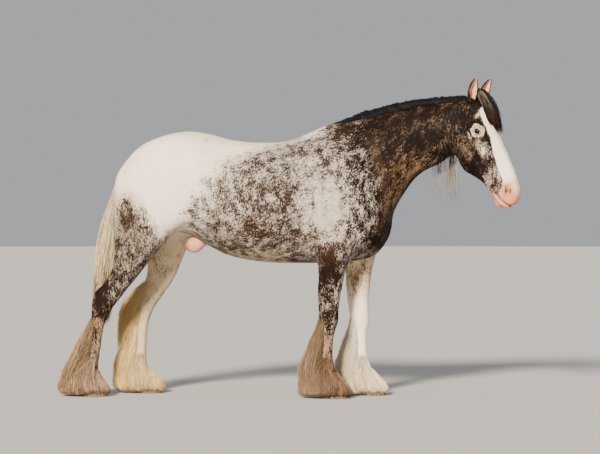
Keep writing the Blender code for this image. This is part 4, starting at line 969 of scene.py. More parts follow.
# How much of the coat is dark, in x and z of the trunk and limbs: name, middle, radii, amount.
BODY_COVER = (
    ("back behind the withers", (0.0, 1.31), (0.15, 0.11), 0.08),
    ("ribs", (-0.1, 1.12), (0.26, 0.2), 0.08),
    ("lower flank", (-0.07, 0.91), (0.26, 0.13), 0.12),
    ("fold of the flank", (-0.51, 1.02), (0.06, 0.08), 0.34),
    ("white of the shoulder", (0.255, 1.05), (0.18, 0.24), -0.5),
    ("white behind the blade", (0.12, 1.27), (0.09, 0.09), -0.22),
    ("withers", (0.42, 1.5), (0.22, 0.15), 0.5),
    ("front of the shoulder", (0.42, 1.22), (0.1, 0.2), 0.16),
    ("foot of the shoulder", (0.4, 1.0), (0.12, 0.16), 0.16),
    ("elbow", (0.24, 0.83), (0.12, 0.11), 0.2),
    ("spots of the quarter", (-0.865, 1.035), (0.065, 0.125), 0.74),
    ("spots of the thigh", (-0.785, 0.945), (0.095, 0.12), 0.46),
    ("roan of the thigh", (-0.89, 0.85), (0.21, 0.29), 0.54),
    # Painted shade: more dark on the back edge of the buttock, where it turns away from the light.
    ("edge of the buttock", (-0.97, 1.08), (0.04, 0.18), 0.12),
    ("spot of the loin", (-0.435, 1.43), (0.016, 0.01), 0.8),
    ("second spot of the loin", (-0.44, 1.385), (0.01, 0.01), 0.75),
)
# The same on the near foreleg and on the near hind leg, over x and z.
FORELEG_COVER = (
    ("dark of the forearm", (0.24, 0.7), (0.09, 0.18), 0.2),
    ("front of the forearm", (0.34, 0.78), (0.06, 0.09), -0.14),
    ("back over the knee", (0.2, 0.56), (0.04, 0.07), -0.2),
    ("front over the knee", (0.3, 0.57), (0.04, 0.05), -0.22),
    ("knee", (0.25, 0.42), (0.1, 0.09), 0.16),
)
HINDLEG_COVER = (
    ("point of the hock", (-1.05, 0.61), (0.09, 0.14), 0.3),
    ("front of the hock", (-0.97, 0.6), (0.07, 0.12), 0.12),
    ("foot of the hock", (-1.03, 0.49), (0.09, 0.1), 0.22),
    ("front of the gaskin", (-0.72, 0.8), (0.1, 0.16), -0.1),
)
# Where the mottling of the barrel begins: height, x.
MOTTLE_START = (
    (0.7, -0.62), (0.9, -0.6), (1.05, -0.54), (1.2, -0.46), (1.32, -0.36), (1.4, -0.12), (1.46, 0.1),
)
# Where the brown black front begins, from the elbow up to the withers: height, x.
FRONT_START = ((0.7, 0.36), (0.86, 0.47), (1.0, 0.55), (1.15, 0.555), (1.3, 0.51), (1.42, 0.47), (1.52, 0.42))
# The edge of the blaze: distance down the face, degrees round from the middle of the face.
BLAZE_EDGE = (
    (0.05, 0.0), (0.085, 33.0), (0.15, 36.0), (0.2, 36.0), (0.247, 33.0), (0.29, 35.5),
    (0.346, 40.0), (0.403, 43.0), (0.463, 45.0), (0.5, 48.0), (0.56, 70.0),
)


def soft_spot(*axes):
    """1 in the middle and 0 at the edge of a soft oval place: (1 - d^2)^2, where d^2 adds up
    ((place - middle) / reach)^2 over the axes."""
    gap = sum(((place - middle) / reach) ** 2 for place, middle, reach in axes)
    return np.clip(1.0 - gap, 0.0, 1.0) ** 2


def add_spots(cover, rows, x, z, weight):
    """Adds to the share of dark the spots of a table, in x and z."""
    for _, (middle_x, middle_z), (reach_x, reach_z), amount in rows:
        cover += weight * amount * soft_spot((x, middle_x, reach_x), (z, middle_z, reach_z)) ** 0.6


def tint(colours, target, weight):
    """Moves colours towards another by a weight."""
    colours += (np.array(target) - colours) * np.asarray(weight)[..., None]


def body_coat(points, looks):
    """The light colour, the dark colour and the share of dark at each point, head left out."""
    x, y, z = points.T
    near = step_up(0.02, -0.02, y)
    light = np.tile(np.array(looks.croup_colour), (len(points), 1))
    deep = np.tile(np.array(looks.barrel_dark), (len(points), 1))
    mottle = step_up(-0.08, 0.22, x - row_values(MOTTLE_START, z)[0])
    cover = LEAST_DARK + 0.66 * mottle
    tint(light, looks.barrel_colour, mottle)
    tint(deep, looks.grey_dark, step_up(1.1, 1.28, z) * step_up(0.2, 0.05, x))
    tint(deep, looks.reddish_dark, 0.8 * step_up(1.0, 0.88, z) * step_up(-0.5, -0.3, x))
    add_spots(cover, BODY_COVER, x, z, 1.0)
    grey_thigh = soft_spot((x, -0.89, 0.2), (z, 0.88, 0.32))
    tint(light, looks.roan_colour, 0.95 * grey_thigh**0.6)
    from_front = x - row_values(FRONT_START, z)[0]
    ahead = step_up(-0.075, 0.045, from_front) * step_up(0.74, 0.84, z)
    cover = blend(np.clip(cover, LEAST_DARK, 0.9), 0.92, ahead)
    tint(deep, looks.neck_colour, step_up(0.22, 0.44, x) * step_up(0.7, 0.9, z))
    tint(light, looks.roan_colour, ahead)
    edge = soft_spot((from_front, 0.015, 0.045)) * step_up(0.9, 1.0, z)
    tint(deep, looks.reddish_dark, 0.8 * edge * step_up(1.48, 1.36, z))
    lower_neck = soft_spot((x, 0.72, 0.24), (z, 1.27, 0.16))
    throat = soft_spot((x, 0.9, 0.14), (z, 1.33, 0.09))
    breast = soft_spot((x, 0.62, 0.09), (z, 1.12, 0.16))
    cover -= 0.3 * lower_neck + 0.22 * throat + 0.28 * breast
    tint(light, looks.ochre_colour, 0.7 * np.maximum(lower_neck, breast))
    tint(light, looks.barrel_colour, 0.6 * throat)
    # The belly is paler, and the skin shows pink between the thighs.
    belly = step_up(0.86, 0.76, z) * step_up(-0.58, -0.45, x) * step_up(0.3, 0.16, x)
    tint(light, looks.cream_colour, 0.75 * belly)
    cover -= 0.16 * belly
    groin = soft_spot((x, -0.55, 0.22), (y, 0.0, 0.13), (z, 0.88, 0.14))
    tint(light, looks.pink_skin, 0.8 * groin)
    cover -= 0.3 * groin
    # The near legs are mottled in red brown, the far ones cream.
    fore = step_up(0.86, 0.78, z) * step_up(0.0, 0.1, x)
    hind = step_up(0.98, 0.8, z) * step_up(-0.4, -0.52, x)
    cover = blend(cover, 0.79 * near + 0.34 * (1.0 - near), fore)
    cover = blend(cover, 0.75 * near + 0.18 * (1.0 - near), 0.9 * hind)
    add_spots(cover, FORELEG_COVER, x, z, near)
    add_spots(cover, HINDLEG_COVER, x, z, near)
    add_spots(cover, (("far knee", (0.38, 0.64), (0.1, 0.16), 0.2),), x, z, (1.0 - near) * fore)
    legs = np.maximum(fore, hind)
    tint(deep, looks.leg_dark, legs * near * step_up(0.86, 0.7, z))
    tint(deep, looks.far_dark, legs * (1.0 - near))
    tint(deep, looks.roan_colour, 0.6 * fore * (1.0 - near))
    tint(light, looks.barrel_colour, legs * near)
    tint(light, looks.roan_colour, 0.5 * hind * near)
    tint(light, looks.cream_colour, legs * (1.0 - near))
    tint(light, looks.ochre_colour, 0.32 * hind * (1.0 - near) * step_up(0.75, 0.5, z))
    hock = hind * near * step_up(0.58, 0.44, z)
    tint(light, looks.cannon_colour, hock)
    cover += 0.04 * hock
    pale_cannon = fore * (1.0 - near) * step_up(0.68, 0.5, z)
    cover = blend(cover, 0.04, pale_cannon)
    tint(light, looks.far_cannon, pale_cannon)
    cannon = legs * step_up(0.47, 0.33, z)
    tint(light, looks.cannon_colour, cannon * near)
    tint(light, looks.far_cannon, cannon * (1.0 - near) * step_up(0.0, 0.1, x))
    cover = blend(cover, 0.5 * near + 0.03, cannon)
    return light, deep, np.clip(cover, LEAST_DARK, MOST_DARK)


def head_coat(points, looks):
    """The same for the head, in its own space. The blaze ends at an angle round the face."""
    along, depth, side = in_head(points)
    light = np.tile(np.array(looks.roan_colour), (len(points), 1))
    deep = np.tile(np.array(looks.face_dark), (len(points), 1))
    cover = np.full(len(points), 0.9)
    cheek = soft_spot((along, 0.26, 0.13), (depth, 0.17, 0.1))
    cover -= 0.16 * cheek
    below = soft_spot((along, 0.285, 0.09), (depth, 0.085, 0.045))
    cover -= 0.3 * below
    tint(light, looks.barrel_colour, 0.8 * below)
    streak = soft_spot((along, 0.298, 0.03), (depth - 0.3 * (along - 0.298), 0.089, 0.012))
    temple = 0.6 * soft_spot((along, 0.19, 0.035), (depth, 0.118, 0.014))
    cover = blend(cover, 0.1, np.maximum(streak, temple))
    tint(light, looks.white_colour, np.maximum(streak, temple))
    lower = step_up(0.34, 0.46, along)
    cover = blend(cover, 0.76, lower)
    tint(light, looks.barrel_colour, lower)
    tint(light, looks.muzzle_colour, 0.35 * lower)
    tint(deep, looks.grey_dark, 0.6 * lower)
    chin_groove = soft_spot((along, 0.4, 0.12), (depth, 0.195, 0.04))
    cover += 0.4 * chin_groove
    half = row_values(BLAZE_EDGE, along)[0]
    angle = np.degrees(np.arctan2(np.abs(side + 0.002), 0.11 - depth))
    blaze = step_up(3.0, -3.0, angle - half) * step_up(0.02, 0.08, along)
    beside_blaze = soft_spot((angle - half, 12.0, 20.0)) * step_up(0.2, 0.27, along)
    cover -= 0.16 * beside_blaze
    tint(light, looks.barrel_colour, 0.6 * beside_blaze)
    branch = soft_spot((along - 0.6 * (depth - 0.03), 0.104, 0.014), (depth, 0.03, 0.026))
    blaze = np.maximum(blaze, 0.62 * branch**0.5 * step_up(-0.03, -0.05, side))
    cover = blend(cover, 0.006, blaze)
    tint(light, looks.white_colour, blaze)
    eye_gap = np.sqrt(((along - EYE[0] + 0.001) / 0.038) ** 2 + ((depth - EYE[1] + 0.005) / 0.037) ** 2)
    round_eye = np.arctan2(depth - EYE[1], along - EYE[0])
    eye_gap = eye_gap * (1.0 + 0.05 * np.sin(3.0 * round_eye + 1.0) + 0.04 * np.sin(5.0 * round_eye))
    beside = step_up(0.05, 0.065, np.abs(side))
    # A dark arc over the pale ring: dark skin of the fold over the eye, with painted shade under that fold.
    above_eye = step_up(0.01, -0.01, depth - EYE[1] + 0.5 * (along - EYE[0]))
    arc = step_up(1.35, 1.12, eye_gap) * above_eye * beside
    cover = blend(cover, 0.97, arc)
    ring = step_up(1.06, 0.94, eye_gap) * beside
    cover = blend(cover, 0.3, ring)
    tint(light, looks.eye_skin, ring)
    slope = 0.75 * np.clip(depth - 0.065, 0.0, 0.06) * step_up(0.165, 0.13, depth)
    muzzle = step_up(0.495, 0.535, along - slope)
    cover = blend(cover, 0.012, muzzle)
    tint(light, looks.muzzle_colour, muzzle)
    nose_tip = soft_spot((along, 0.56, 0.08), (depth, 0.02, 0.05))
    tint(light, looks.white_colour, 0.45 * muzzle * nose_tip)
    # The nostril is painted dark: dark pink skin inside it, with painted shade in its hollow.
    for nostril in both_sides(NOSTRIL[0], NOSTRIL[1], NOSTRIL[2] - 0.01):
        gap = np.linalg.norm(points - nostril, axis=1)
        tint(light, looks.dark_pink_and_shade, 0.9 * step_up(0.026, 0.014, gap))
    # Along the line of the mouth the lips are painted dark: dark lip skin, with painted shade in the crease
    # between them.
    mouth = row_values(((0.48, 0.15), (0.54, 0.138), (0.6, 0.117), (0.65, 0.098)), along)[0]
    lips = step_up(0.0065, 0.0015, np.abs(depth - mouth)) * step_up(0.48, 0.492, along)
    tint(light, looks.dark_pink_and_shade, 0.8 * lips)
    return light, deep, np.clip(cover, LEAST_DARK, MOST_DARK)


def fleck_places(points):
    """Coordinates for the flecks, which come out 1.7 times as tall as they are wide."""
    return points * np.array((1.0, 1.0, 0.6))


def coat_values(points, part, looks):
    """The body's values and the head's, mixed over 80 mm where the head joins the neck."""
    body = body_coat(points, looks)
    head = head_coat(points, looks)
    ahead = (points - head_point(*HEAD_CUT)) @ head_way(*HEAD_CUT_WAY)
    weight = step_up(-0.05, 0.03, ahead) * (part < min(LEG_PARTS.values()))
    light, deep = (blend(body[row], head[row], weight[:, None]) for row in (0, 1))
    return light, deep, blend(body[2], head[2], weight)


def coat_piece(mesh, light, deep, cover, axes, nodes=()):
    """A small piece of coat or skin. Its hairs lie along the second of two axes."""
    points = points_of(mesh)
    set_values(mesh, "Light", np.broadcast_to(np.array(light), points.shape))
    set_values(mesh, "Deep", np.broadcast_to(np.array(deep), points.shape))
    set_values(mesh, "Cover", np.broadcast_to(cover, len(points)))
    set_values(mesh, "Flecks", points)
    set_map(mesh, "HairLie", points[corners_of(mesh)][:, axes])
    piece(mesh, coat_material(), nodes)


def with_ends(values):
    """The values of a loft's points, from those of its rings (R, C) and of its two ends."""
    flat = values.reshape(-1, *values.shape[2:])
    return np.concatenate([flat, flat[:1], flat[-1:]])


def tuft_length(points, part):
    """How long the short coat is: least on the face, most under the belly and the jaw."""
    _, _, z = points.T
    length = np.full(len(points), 0.024)
    length += 0.008 * step_up(0.9, 0.76, z) * (part == TRUNK_PART)
    length[part >= min(LEG_PARTS.values())] = 0.02
    along, depth, _ = in_head(points)
    face = blend(0.012, 0.006, step_up(0.25, 0.55, along))
    face += 0.016 * step_up(0.17, 0.21, depth) * step_up(0.45, 0.25, along)
    return np.where(part == HEAD_PART, face, length)


def make_skin(looks):
    """The skin of the whole body, inside the outline by the depth of the coat, with its markings,
    the way that its hair lies and its unwraps."""
    mesh = make_flesh()
    mesh.name = "skin"
    set_points(mesh, points_of(mesh) - normals_of(mesh) * looks.coat_depth)
    points = points_of(mesh)
    part = part_of(points)
    body = (part != HEAD_PART).astype(float)
    lie = unit(spread(mesh, coat_lie(points, part), 50, 0.5))
    normals = normals_of(mesh)
    lie = unit(lie - normals * (lie * normals).sum(axis=1)[:, None])
    light, deep, cover = coat_values(points, part, looks)
    both = spread(mesh, np.concatenate([light, deep, cover[:, None]], axis=1), 5, 0.5 * body)
    set_values(mesh, "Light", both[:, 0:3])
    set_values(mesh, "Deep", both[:, 3:6])
    set_values(mesh, "Cover", both[:, 6])
    set_values(mesh, "Flecks", fleck_places(points))
    set_values(mesh, "Lie", lie)
    set_values(mesh, "Length", tuft_length(points, part))
    corners = corners_of(mesh)
    sizes = fetch(mesh.polygons, "loop_total", 1, np.int32)[:, 0]
    starts = np.concatenate([[0], np.cumsum(sizes)[:-1]])
    owner = np.repeat(np.arange(len(sizes)), sizes)
    corner_part = part[corners[starts]][owner]
    flat = unwrap(points[corners], corner_part)
    # A face across a seam has its low corners moved on by the whole girth.
    girth = GIRTHS[corner_part]
    highest = np.maximum.reduceat(flat[:, 0], starts)[owner]
    flat[:, 0] += np.where(highest - flat[:, 0] > girth / 2.0, girth, 0.0)
    set_map(mesh, "HairLie", flat)
    set_map(mesh, "OFBake", (flat + np.array(STRIPS)[corner_part]) / UNWRAP_SIZE)
    mesh.shade_smooth()
    mesh.materials.clear()
    piece(mesh, coat_material(), FLESH_NODES)


def strand_mesh(name, paths, outs, widths, thickness, profile, roots):
    """Solid hairs. Each path (N, K, 3) carries a three-cornered ring at every place but its
    last, flat against its way out, as wide as its width times the profile at that place. A
    point closes the tip and one face the root. Each hair is a patch of the OFBake map at its
    root's place (N, 2)."""
    count, steps, _ = paths.shape
    rings = steps - 1
    along = unit(np.gradient(paths, axis=1))[:, :rings]
    outs = np.broadcast_to(outs if outs.ndim == 3 else outs[:, None], paths.shape)[:, :rings]
    wide = unit(np.cross(along, outs))
    deep = np.cross(wide, along)
    places = np.arange(rings) / rings
    size = np.interp(places, np.linspace(0.0, 1.0, len(profile)), profile)[None, :, None, None]
    turn = np.pi / 2.0 + 2.0 * np.pi * np.arange(3) / 3.0
    widths = np.asarray(widths).reshape(-1, 1, 1, 1)
    offset = wide[:, :, None] * np.cos(turn)[:, None] * widths / 2.0
    offset = offset + deep[:, :, None] * np.sin(turn)[:, None] * (thickness / 2.0)
    body = paths[:, :rings, None] + offset * size
    points = np.concatenate([body.reshape(count, rings * 3, 3), paths[:, -1:]], axis=1)
    each = rings * 3 + 1
    ring = np.arange((rings - 1) * 3).reshape(rings - 1, 3)
    after = np.roll(ring, -1, axis=1)
    quads = np.stack([ring, ring + 3, after + 3, after], axis=-1).reshape(-1, 4)
    last = (rings - 1) * 3
    tip = rings * 3
    triangles = np.array([(last, tip, last + 1), (last + 1, tip, last + 2), (last + 2, tip, last), (0, 1, 2)])
    shift = (np.arange(count) * each)[:, None, None]
    mesh = put_mesh(
        name, points.reshape(-1, 3), (quads + shift).reshape(-1, 4), (triangles + shift).reshape(-1, 3)
    )
    low = roots.min(axis=0)
    patch = (roots - low) / np.maximum(roots.max(axis=0) - low, 1e-6) * (1.0 - 2.0 * TUFT_PATCH)
    corner_places = np.concatenate([
        np.stack([np.tile(np.arange(3) / 3.0, rings), np.repeat(places, 3)], axis=-1), [[0.5, 1.0]]
    ])
    spots = patch[:, None] + corner_places[None] * TUFT_PATCH
    set_map(mesh, "OFBake", spots.reshape(-1, 2)[corners_of(mesh)])
    return mesh, np.concatenate([np.repeat(places, 3), [1.0]])


def strand_tint(mesh, shares, root, tip, turning, draw, spread_amount):
    """Colours each hair from its root colour to its tip colour, past a turning share, and makes
    some hairs lighter and some darker."""
    count = len(root)
    turning = np.broadcast_to(turning, count)[:, None]
    mixed = step_up(turning - 0.25, turning + 0.35, shares[None, :])[..., None]
    colours = blend(root[:, None], tip[:, None], mixed)
    colours = colours * np.exp(draw.normal(0.0, spread_amount, (count, 1, 1)))
    set_values(mesh, "Tint", np.clip(colours, 0.0, 1.0).reshape(-1, 3))


def gathered_in(paths, groups, strength):
    """Draws hairs together into locks: each moves towards the mean path of its group by the
    strength times the share from its root to the power of 1.5."""
    total = int(groups.max()) + 1
    count = np.bincount(groups, minlength=total)[:, None, None]
    mean = np.zeros((total, *paths.shape[1:]))
    np.add.at(mean, groups, paths)
    mean = (mean / np.maximum(count, 1))[groups]
    share = np.linspace(0.0, 1.0, paths.shape[1])[None, :, None]
    return blend(paths, mean, strength * share**1.5)


def waved(paths, draw, height, turns, groups=None):
    """Adds a slow sideways wave to each hair, or to each lock of a group of hairs, growing from
    nothing at the root."""
    count, steps, _ = paths.shape
    groups = np.arange(count) if groups is None else groups
    share = np.linspace(0.0, 1.0, steps)[None, :, None]
    way = unit(draw.normal(size=(groups.max() + 1, 1, 3)))[groups]
    phase = draw.uniform(0.0, 2.0 * np.pi, (groups.max() + 1, 1, 1))[groups]
    return paths + way * (np.sin(2.0 * np.pi * turns * share + phase) - np.sin(phase)) * height * share


# The width of a long hair from its root on, and the locks round the tail and each feather tier.
HAIR_PROFILE = (0.45, 0.9, 1.0, 0.95, 0.8, 0.5)
LOCKS = 90
# Seeds of the random draws. Each leg's feather adds its number to its own, and the tufts have theirs
# where they are made.
SEEDS = {
    "mane": 21, "forelock": 22, "tail": 23, "throat wisps": 24, "feather": 31, "lashes": 51, "ears": 61,
    "whiskers": 71,
}


def colour_rows(draw, count, codes, weights):
    """A colour for each hair, drawn from a few by weight and mixed a little with another."""
    colours = np.array([srgb(code) for code in codes])
    first = colours[draw.choice(len(codes), count, p=np.array(weights) / sum(weights))]
    second = colours[draw.choice(len(codes), count, p=np.array(weights) / sum(weights))]
    return blend(first, second, draw.uniform(0.0, 0.5, (count, 1)))


def make_mane(hair):
    """Hair rooted in a band on the near side of the crest, swept up over it and down the far
    side. Most roots stand along the lower edge of the band."""
    draw = np.random.default_rng(SEEDS["mane"])
    count = hair.mane_hairs
    share = draw.uniform(0.02, 0.985, count)
    down = np.array((0.0, 0.14, 0.36, 0.68, 1.0))[None, :]
    edge = 27.0 + 1.6 * np.sin(share * 31.0) + draw.normal(0.0, 2.6, count)
    edge = edge * np.interp(share, (0.02, 0.14, 0.28, 0.9, 1.0), (0.15, 0.5, 1.0, 1.0, 0.6))
    at_edge = draw.random(count) < 0.4
    spread_down = np.where(at_edge, draw.uniform(0.84, 1.0, count), draw.uniform(0.15, 0.95, count))
    root_fall = -edge * spread_down
    reach = np.interp(share, (0.02, 0.3, 0.55, 0.8, 1.0), (28.0, 84.0, 108.0, 114.0, 96.0))
    reach = reach * draw.uniform(0.55, 1.06, count)
    fall = blend(root_fall[:, None], reach[:, None], down)
    lift = np.interp(down, (0.0, 0.1, 0.3, 0.7, 1.0), (-0.004, 0.003, 0.015, 0.022, 0.016))
    lift = lift * draw.uniform(0.35, 1.05, (count, 1)) ** np.where(down > 0.0, 1.0, 0.0)
    lift = np.where(down > 0.0, lift * np.interp(share, (0.02, 0.25), (0.25, 1.0))[:, None], lift)
    groups = (share * 110.0 + draw.uniform(-1.2, 1.2, count)).clip(0).astype(int)
    slant = draw.normal(-0.085, 0.014, (count, 1))
    slant = slant + draw.normal(0.0, 0.024, groups.max() + 1)[groups][:, None]
    paths, outs = neck_place(np.clip(share[:, None] + slant * np.sqrt(down), 0.0, 1.0), fall, lift)
    paths = waved(gathered_in(paths, groups, 0.6), draw, 0.004, 1.2)
    paths = waved(paths, draw, 0.006, 0.8, groups)
    roots = np.stack([share, root_fall], axis=-1)
    widths = draw.uniform(0.002, 0.0044, count)
    mesh, shares = strand_mesh("mane", paths, outs, widths, 0.0013, HAIR_PROFILE, roots)
    # The bluish grey #33323A among the root colours is painted sheen on the black hair.
    root = colour_rows(draw, count, ("#0C0B0D", "#121114", "#1C1A1E", "#33323A"), (5, 4, 2, 0.6))
    tip = colour_rows(draw, count, ("#110E0E", "#221813", "#45321F", "#94794F"), (5, 3, 1.0, 0.4))
    strand_tint(mesh, shares, root, tip, 0.8, draw, 0.2)
    piece(mesh, hair_material("black mane hair"))


def make_wisps(hair):
    """Long pale hairs of the mane that hang past the lower edge of the neck."""
    draw = np.random.default_rng(SEEDS["throat wisps"])
    count = hair.throat_wisps
    base = np.where(draw.random(count) < 0.45, 0.7, 0.84) + draw.normal(0.0, 0.032, count)
    falls = np.tile((30.0, 55.0, 76.0, 90.0), (count, 1))
    lift = np.tile((0.004, 0.016, 0.018, 0.018), (count, 1))
    hang, hang_outs = neck_place(np.repeat(base[:, None], 4, axis=1), falls, lift)
    foot = hang[:, 3].copy()
    foot[:, 2] = np.where(base < 0.77, 1.11, 1.06) + draw.uniform(0.0, 0.2, count)
    foot[:, 0] += draw.normal(0.0, 0.02, count)
    foot[:, 1] -= draw.uniform(0.0, 0.05, count)
    tails = blend(hang[:, 3:], foot[:, None], np.array((0.3, 0.55, 0.8, 1.0))[None, :, None])
    paths = waved(np.concatenate([hang, tails], axis=1), draw, 0.012, 0.9)
    outs = np.concatenate([hang_outs, np.repeat(hang_outs[:, 3:], 4, axis=1)], axis=1)
    roots = np.stack([base, draw.random(count)], axis=-1)
    widths = draw.uniform(0.0012, 0.0024, count)
    mesh, shares = strand_mesh("throat_wisps", paths, outs, widths, 0.0009, HAIR_PROFILE, roots)
    root = colour_rows(draw, count, ("#1C1817", "#3A2B22"), (1, 1))
    tip = colour_rows(draw, count, ("#B9A888", "#8D7A5C", "#54432F"), (3, 3, 2))
    strand_tint(mesh, shares, root, tip, 0.42, draw, 0.12)
    piece(mesh, hair_material("mane wisps"))


def make_forelock(hair):
    """Hair from the poll that fans down the forehead between the eyes."""
    draw = np.random.default_rng(SEEDS["forelock"])
    count = hair.forelock_hairs
    down = np.linspace(0.0, 1.0, 7)[None, :]
    fan = draw.uniform(-1.0, 1.0, (count, 1))
    groups = ((fan[:, 0] + 1.0) * 17.0 + draw.uniform(0.0, 2.5, count)).astype(int)
    reach = 0.3 * draw.uniform(0.3, 1.04, (count, 1)) ** 0.8 * (1.0 - 0.22 * fan * fan)
    reach = reach * draw.uniform(0.8, 1.04, groups.max() + 1)[groups][:, None]
    rise = np.interp(down, (0.0, 0.15, 0.45, 0.75, 1.0), (-0.01, 0.034, 0.044, 0.04, 0.02))
    rise = rise * draw.uniform(0.15, 1.05, (count, 1)) * (1.0 - 0.3 * fan * fan)
    side = fan * blend(0.036, 0.06, np.sqrt(down)) + 0.012 * down - 0.002
    paths = head_point(blend(draw.uniform(-0.05, 0.0, (count, 1)), reach, down), -rise, side)
    paths = waved(gathered_in(paths, groups, 0.6), draw, 0.004, 1.0)
    paths = waved(paths, draw, 0.01, 0.8, groups)
    outs = np.broadcast_to(head_way(0.0, -1.0, 0.6 * fan), paths.shape)
    roots = np.concatenate([fan, draw.uniform(0.0, 1.0, (count, 1))], axis=1)
    widths = draw.uniform(0.002, 0.0042, count)
    mesh, shares = strand_mesh("forelock", paths, outs, widths, 0.0012, HAIR_PROFILE, roots)
    root = colour_rows(draw, count, ("#0E0C0D", "#171211", "#251D1A"), (4, 3, 1))
    pale = colour_rows(draw, count, ("#8B8068", "#5F5646"), (2, 1))
    patch = (fan < -0.3) & (draw.random((count, 1)) < 0.35)
    root = np.where(patch, pale, root)
    tip = colour_rows(draw, count, ("#150F0D", "#2C1B13", "#4A2C1C"), (4, 3, 1.2))
    strand_tint(mesh, shares, root, tip, np.where(patch[:, 0], 0.3, 0.65), draw, 0.2)
    piece(mesh, hair_material("forelock hair"))


def make_tail(hair):
    """A short dock, and hair rooted down it that hangs to the tail's tips."""
    heights = np.linspace(DOCK_TOP, DOCK_END, 28)[:, None]
    turn = full_turn(24)
    stops = (DOCK_END, DOCK_END + 0.06, 1.18, 1.27, DOCK_TOP)
    size = np.interp(heights, stops, (0.05, DOCK_SHARE, 0.6, 0.7, 0.3))
    rings = tail_place(heights, turn, size)[0]
    mesh = loft("dock", soften(rings, 3))
    set_values(mesh, "Tint", np.tile(srgb("#D8CBB2"), (len(mesh.vertices), 1)))
    piece(mesh, hair_material("dock hair"))

    draw = np.random.default_rng(SEEDS["tail"])
    count = hair.tail_hairs
    down = np.linspace(0.0, 1.0, 7)[None, :]
    turn = draw.uniform(0.0, 2.0 * np.pi, (count, 1))
    top = blend(DOCK_END + 0.04, DOCK_TOP + 0.004, draw.uniform(0.0, 1.0, (count, 1)) ** 0.6)
    end = blend(np.maximum(top - 0.45, 0.36), TAIL[-1][2], draw.uniform(0.0, 1.0, (count, 1)))
    target = draw.uniform(0.15, 1.0, (count, 1)) ** 0.5
    start = np.interp(top, (DOCK_END, 1.18, 1.27, DOCK_TOP), (DOCK_SHARE, 0.56, 0.66, 0.4))
    share = blend(start, np.maximum(target, start + 0.3), step_up(0.0, 0.45, down))
    paths, outs = tail_place(blend(top, end, down), turn + 0.35 * down, share)
    groups = np.empty(count, int)
    groups[np.argsort(turn[:, 0] + 0.4 * draw.random(count))] = np.arange(count) * LOCKS // count
    paths = waved(gathered_in(paths, groups, 0.45), draw, 0.005, 1.4)
    paths = waved(paths, draw, 0.016, 1.3, groups)
    roots = np.concatenate([turn, top], axis=1)
    widths = draw.uniform(0.0024, 0.0052, count)
    mesh, shares = strand_mesh("tail_hair", paths, outs, widths, 0.0014, HAIR_PROFILE, roots)
    root = colour_rows(draw, count, ("#CFC0A0", "#B8A684", "#94866E", "#DDD0B4"), (4, 3, 1.0, 2))
    tip = colour_rows(draw, count, ("#CDB98E", "#B29A6E", "#8E7C5C", "#DCCCA4"), (4, 3, 1, 2))
    strand_tint(mesh, shares, root, tip, 0.5, draw, 0.14)
    piece(mesh, hair_material("tail hair"), ["tail"])


# The feather's colours for each leg: at the root and at the tip, each with its weights, and the
# colours in front of the pastern.
FEATHER_COLOURS = {
    ("foreleg", -1.0): (
        (("#6A543C", "#82694A", "#56412F", "#9C835F"), (3, 3, 2, 1)),
        (("#AC937A", "#B0956F", "#7E624C", "#604736"), (3, 3, 2, 1)),
        (("#4A362C", "#6A4F3E", "#A48266"), (3, 2, 2)),
    ),
    ("hindleg", -1.0): (
        (("#8C7354", "#6B5343", "#B29A70", "#4C382E"), (3, 3, 2, 1)),
        (("#9C754F", "#CDB48C", "#7A5A40", "#5A4133"), (3, 3, 2, 1)),
        (("#6E5443", "#A2856C", "#D2BC9C"), (2, 2, 2)),
    ),
    ("foreleg", 1.0): (
        (("#F6EDDC", "#EBDABC", "#D0B994"), (4, 2, 1)),
        (("#F2E4C8", "#E2CCA2", "#C4A478"), (4, 2, 1)),
        (("#F4E9D4", "#E8D2A8", "#D4B280"), (4, 3, 1)),
    ),
    ("hindleg", 1.0): (
        (("#F2D89C", "#E2C07C", "#B08C56"), (4, 2, 1)),
        (("#F2D392", "#E2BA72", "#B48C50"), (4, 2, 1)),
        (("#EED6A4", "#DEBA7C", "#C09658"), (4, 3, 1)),
    ),
}


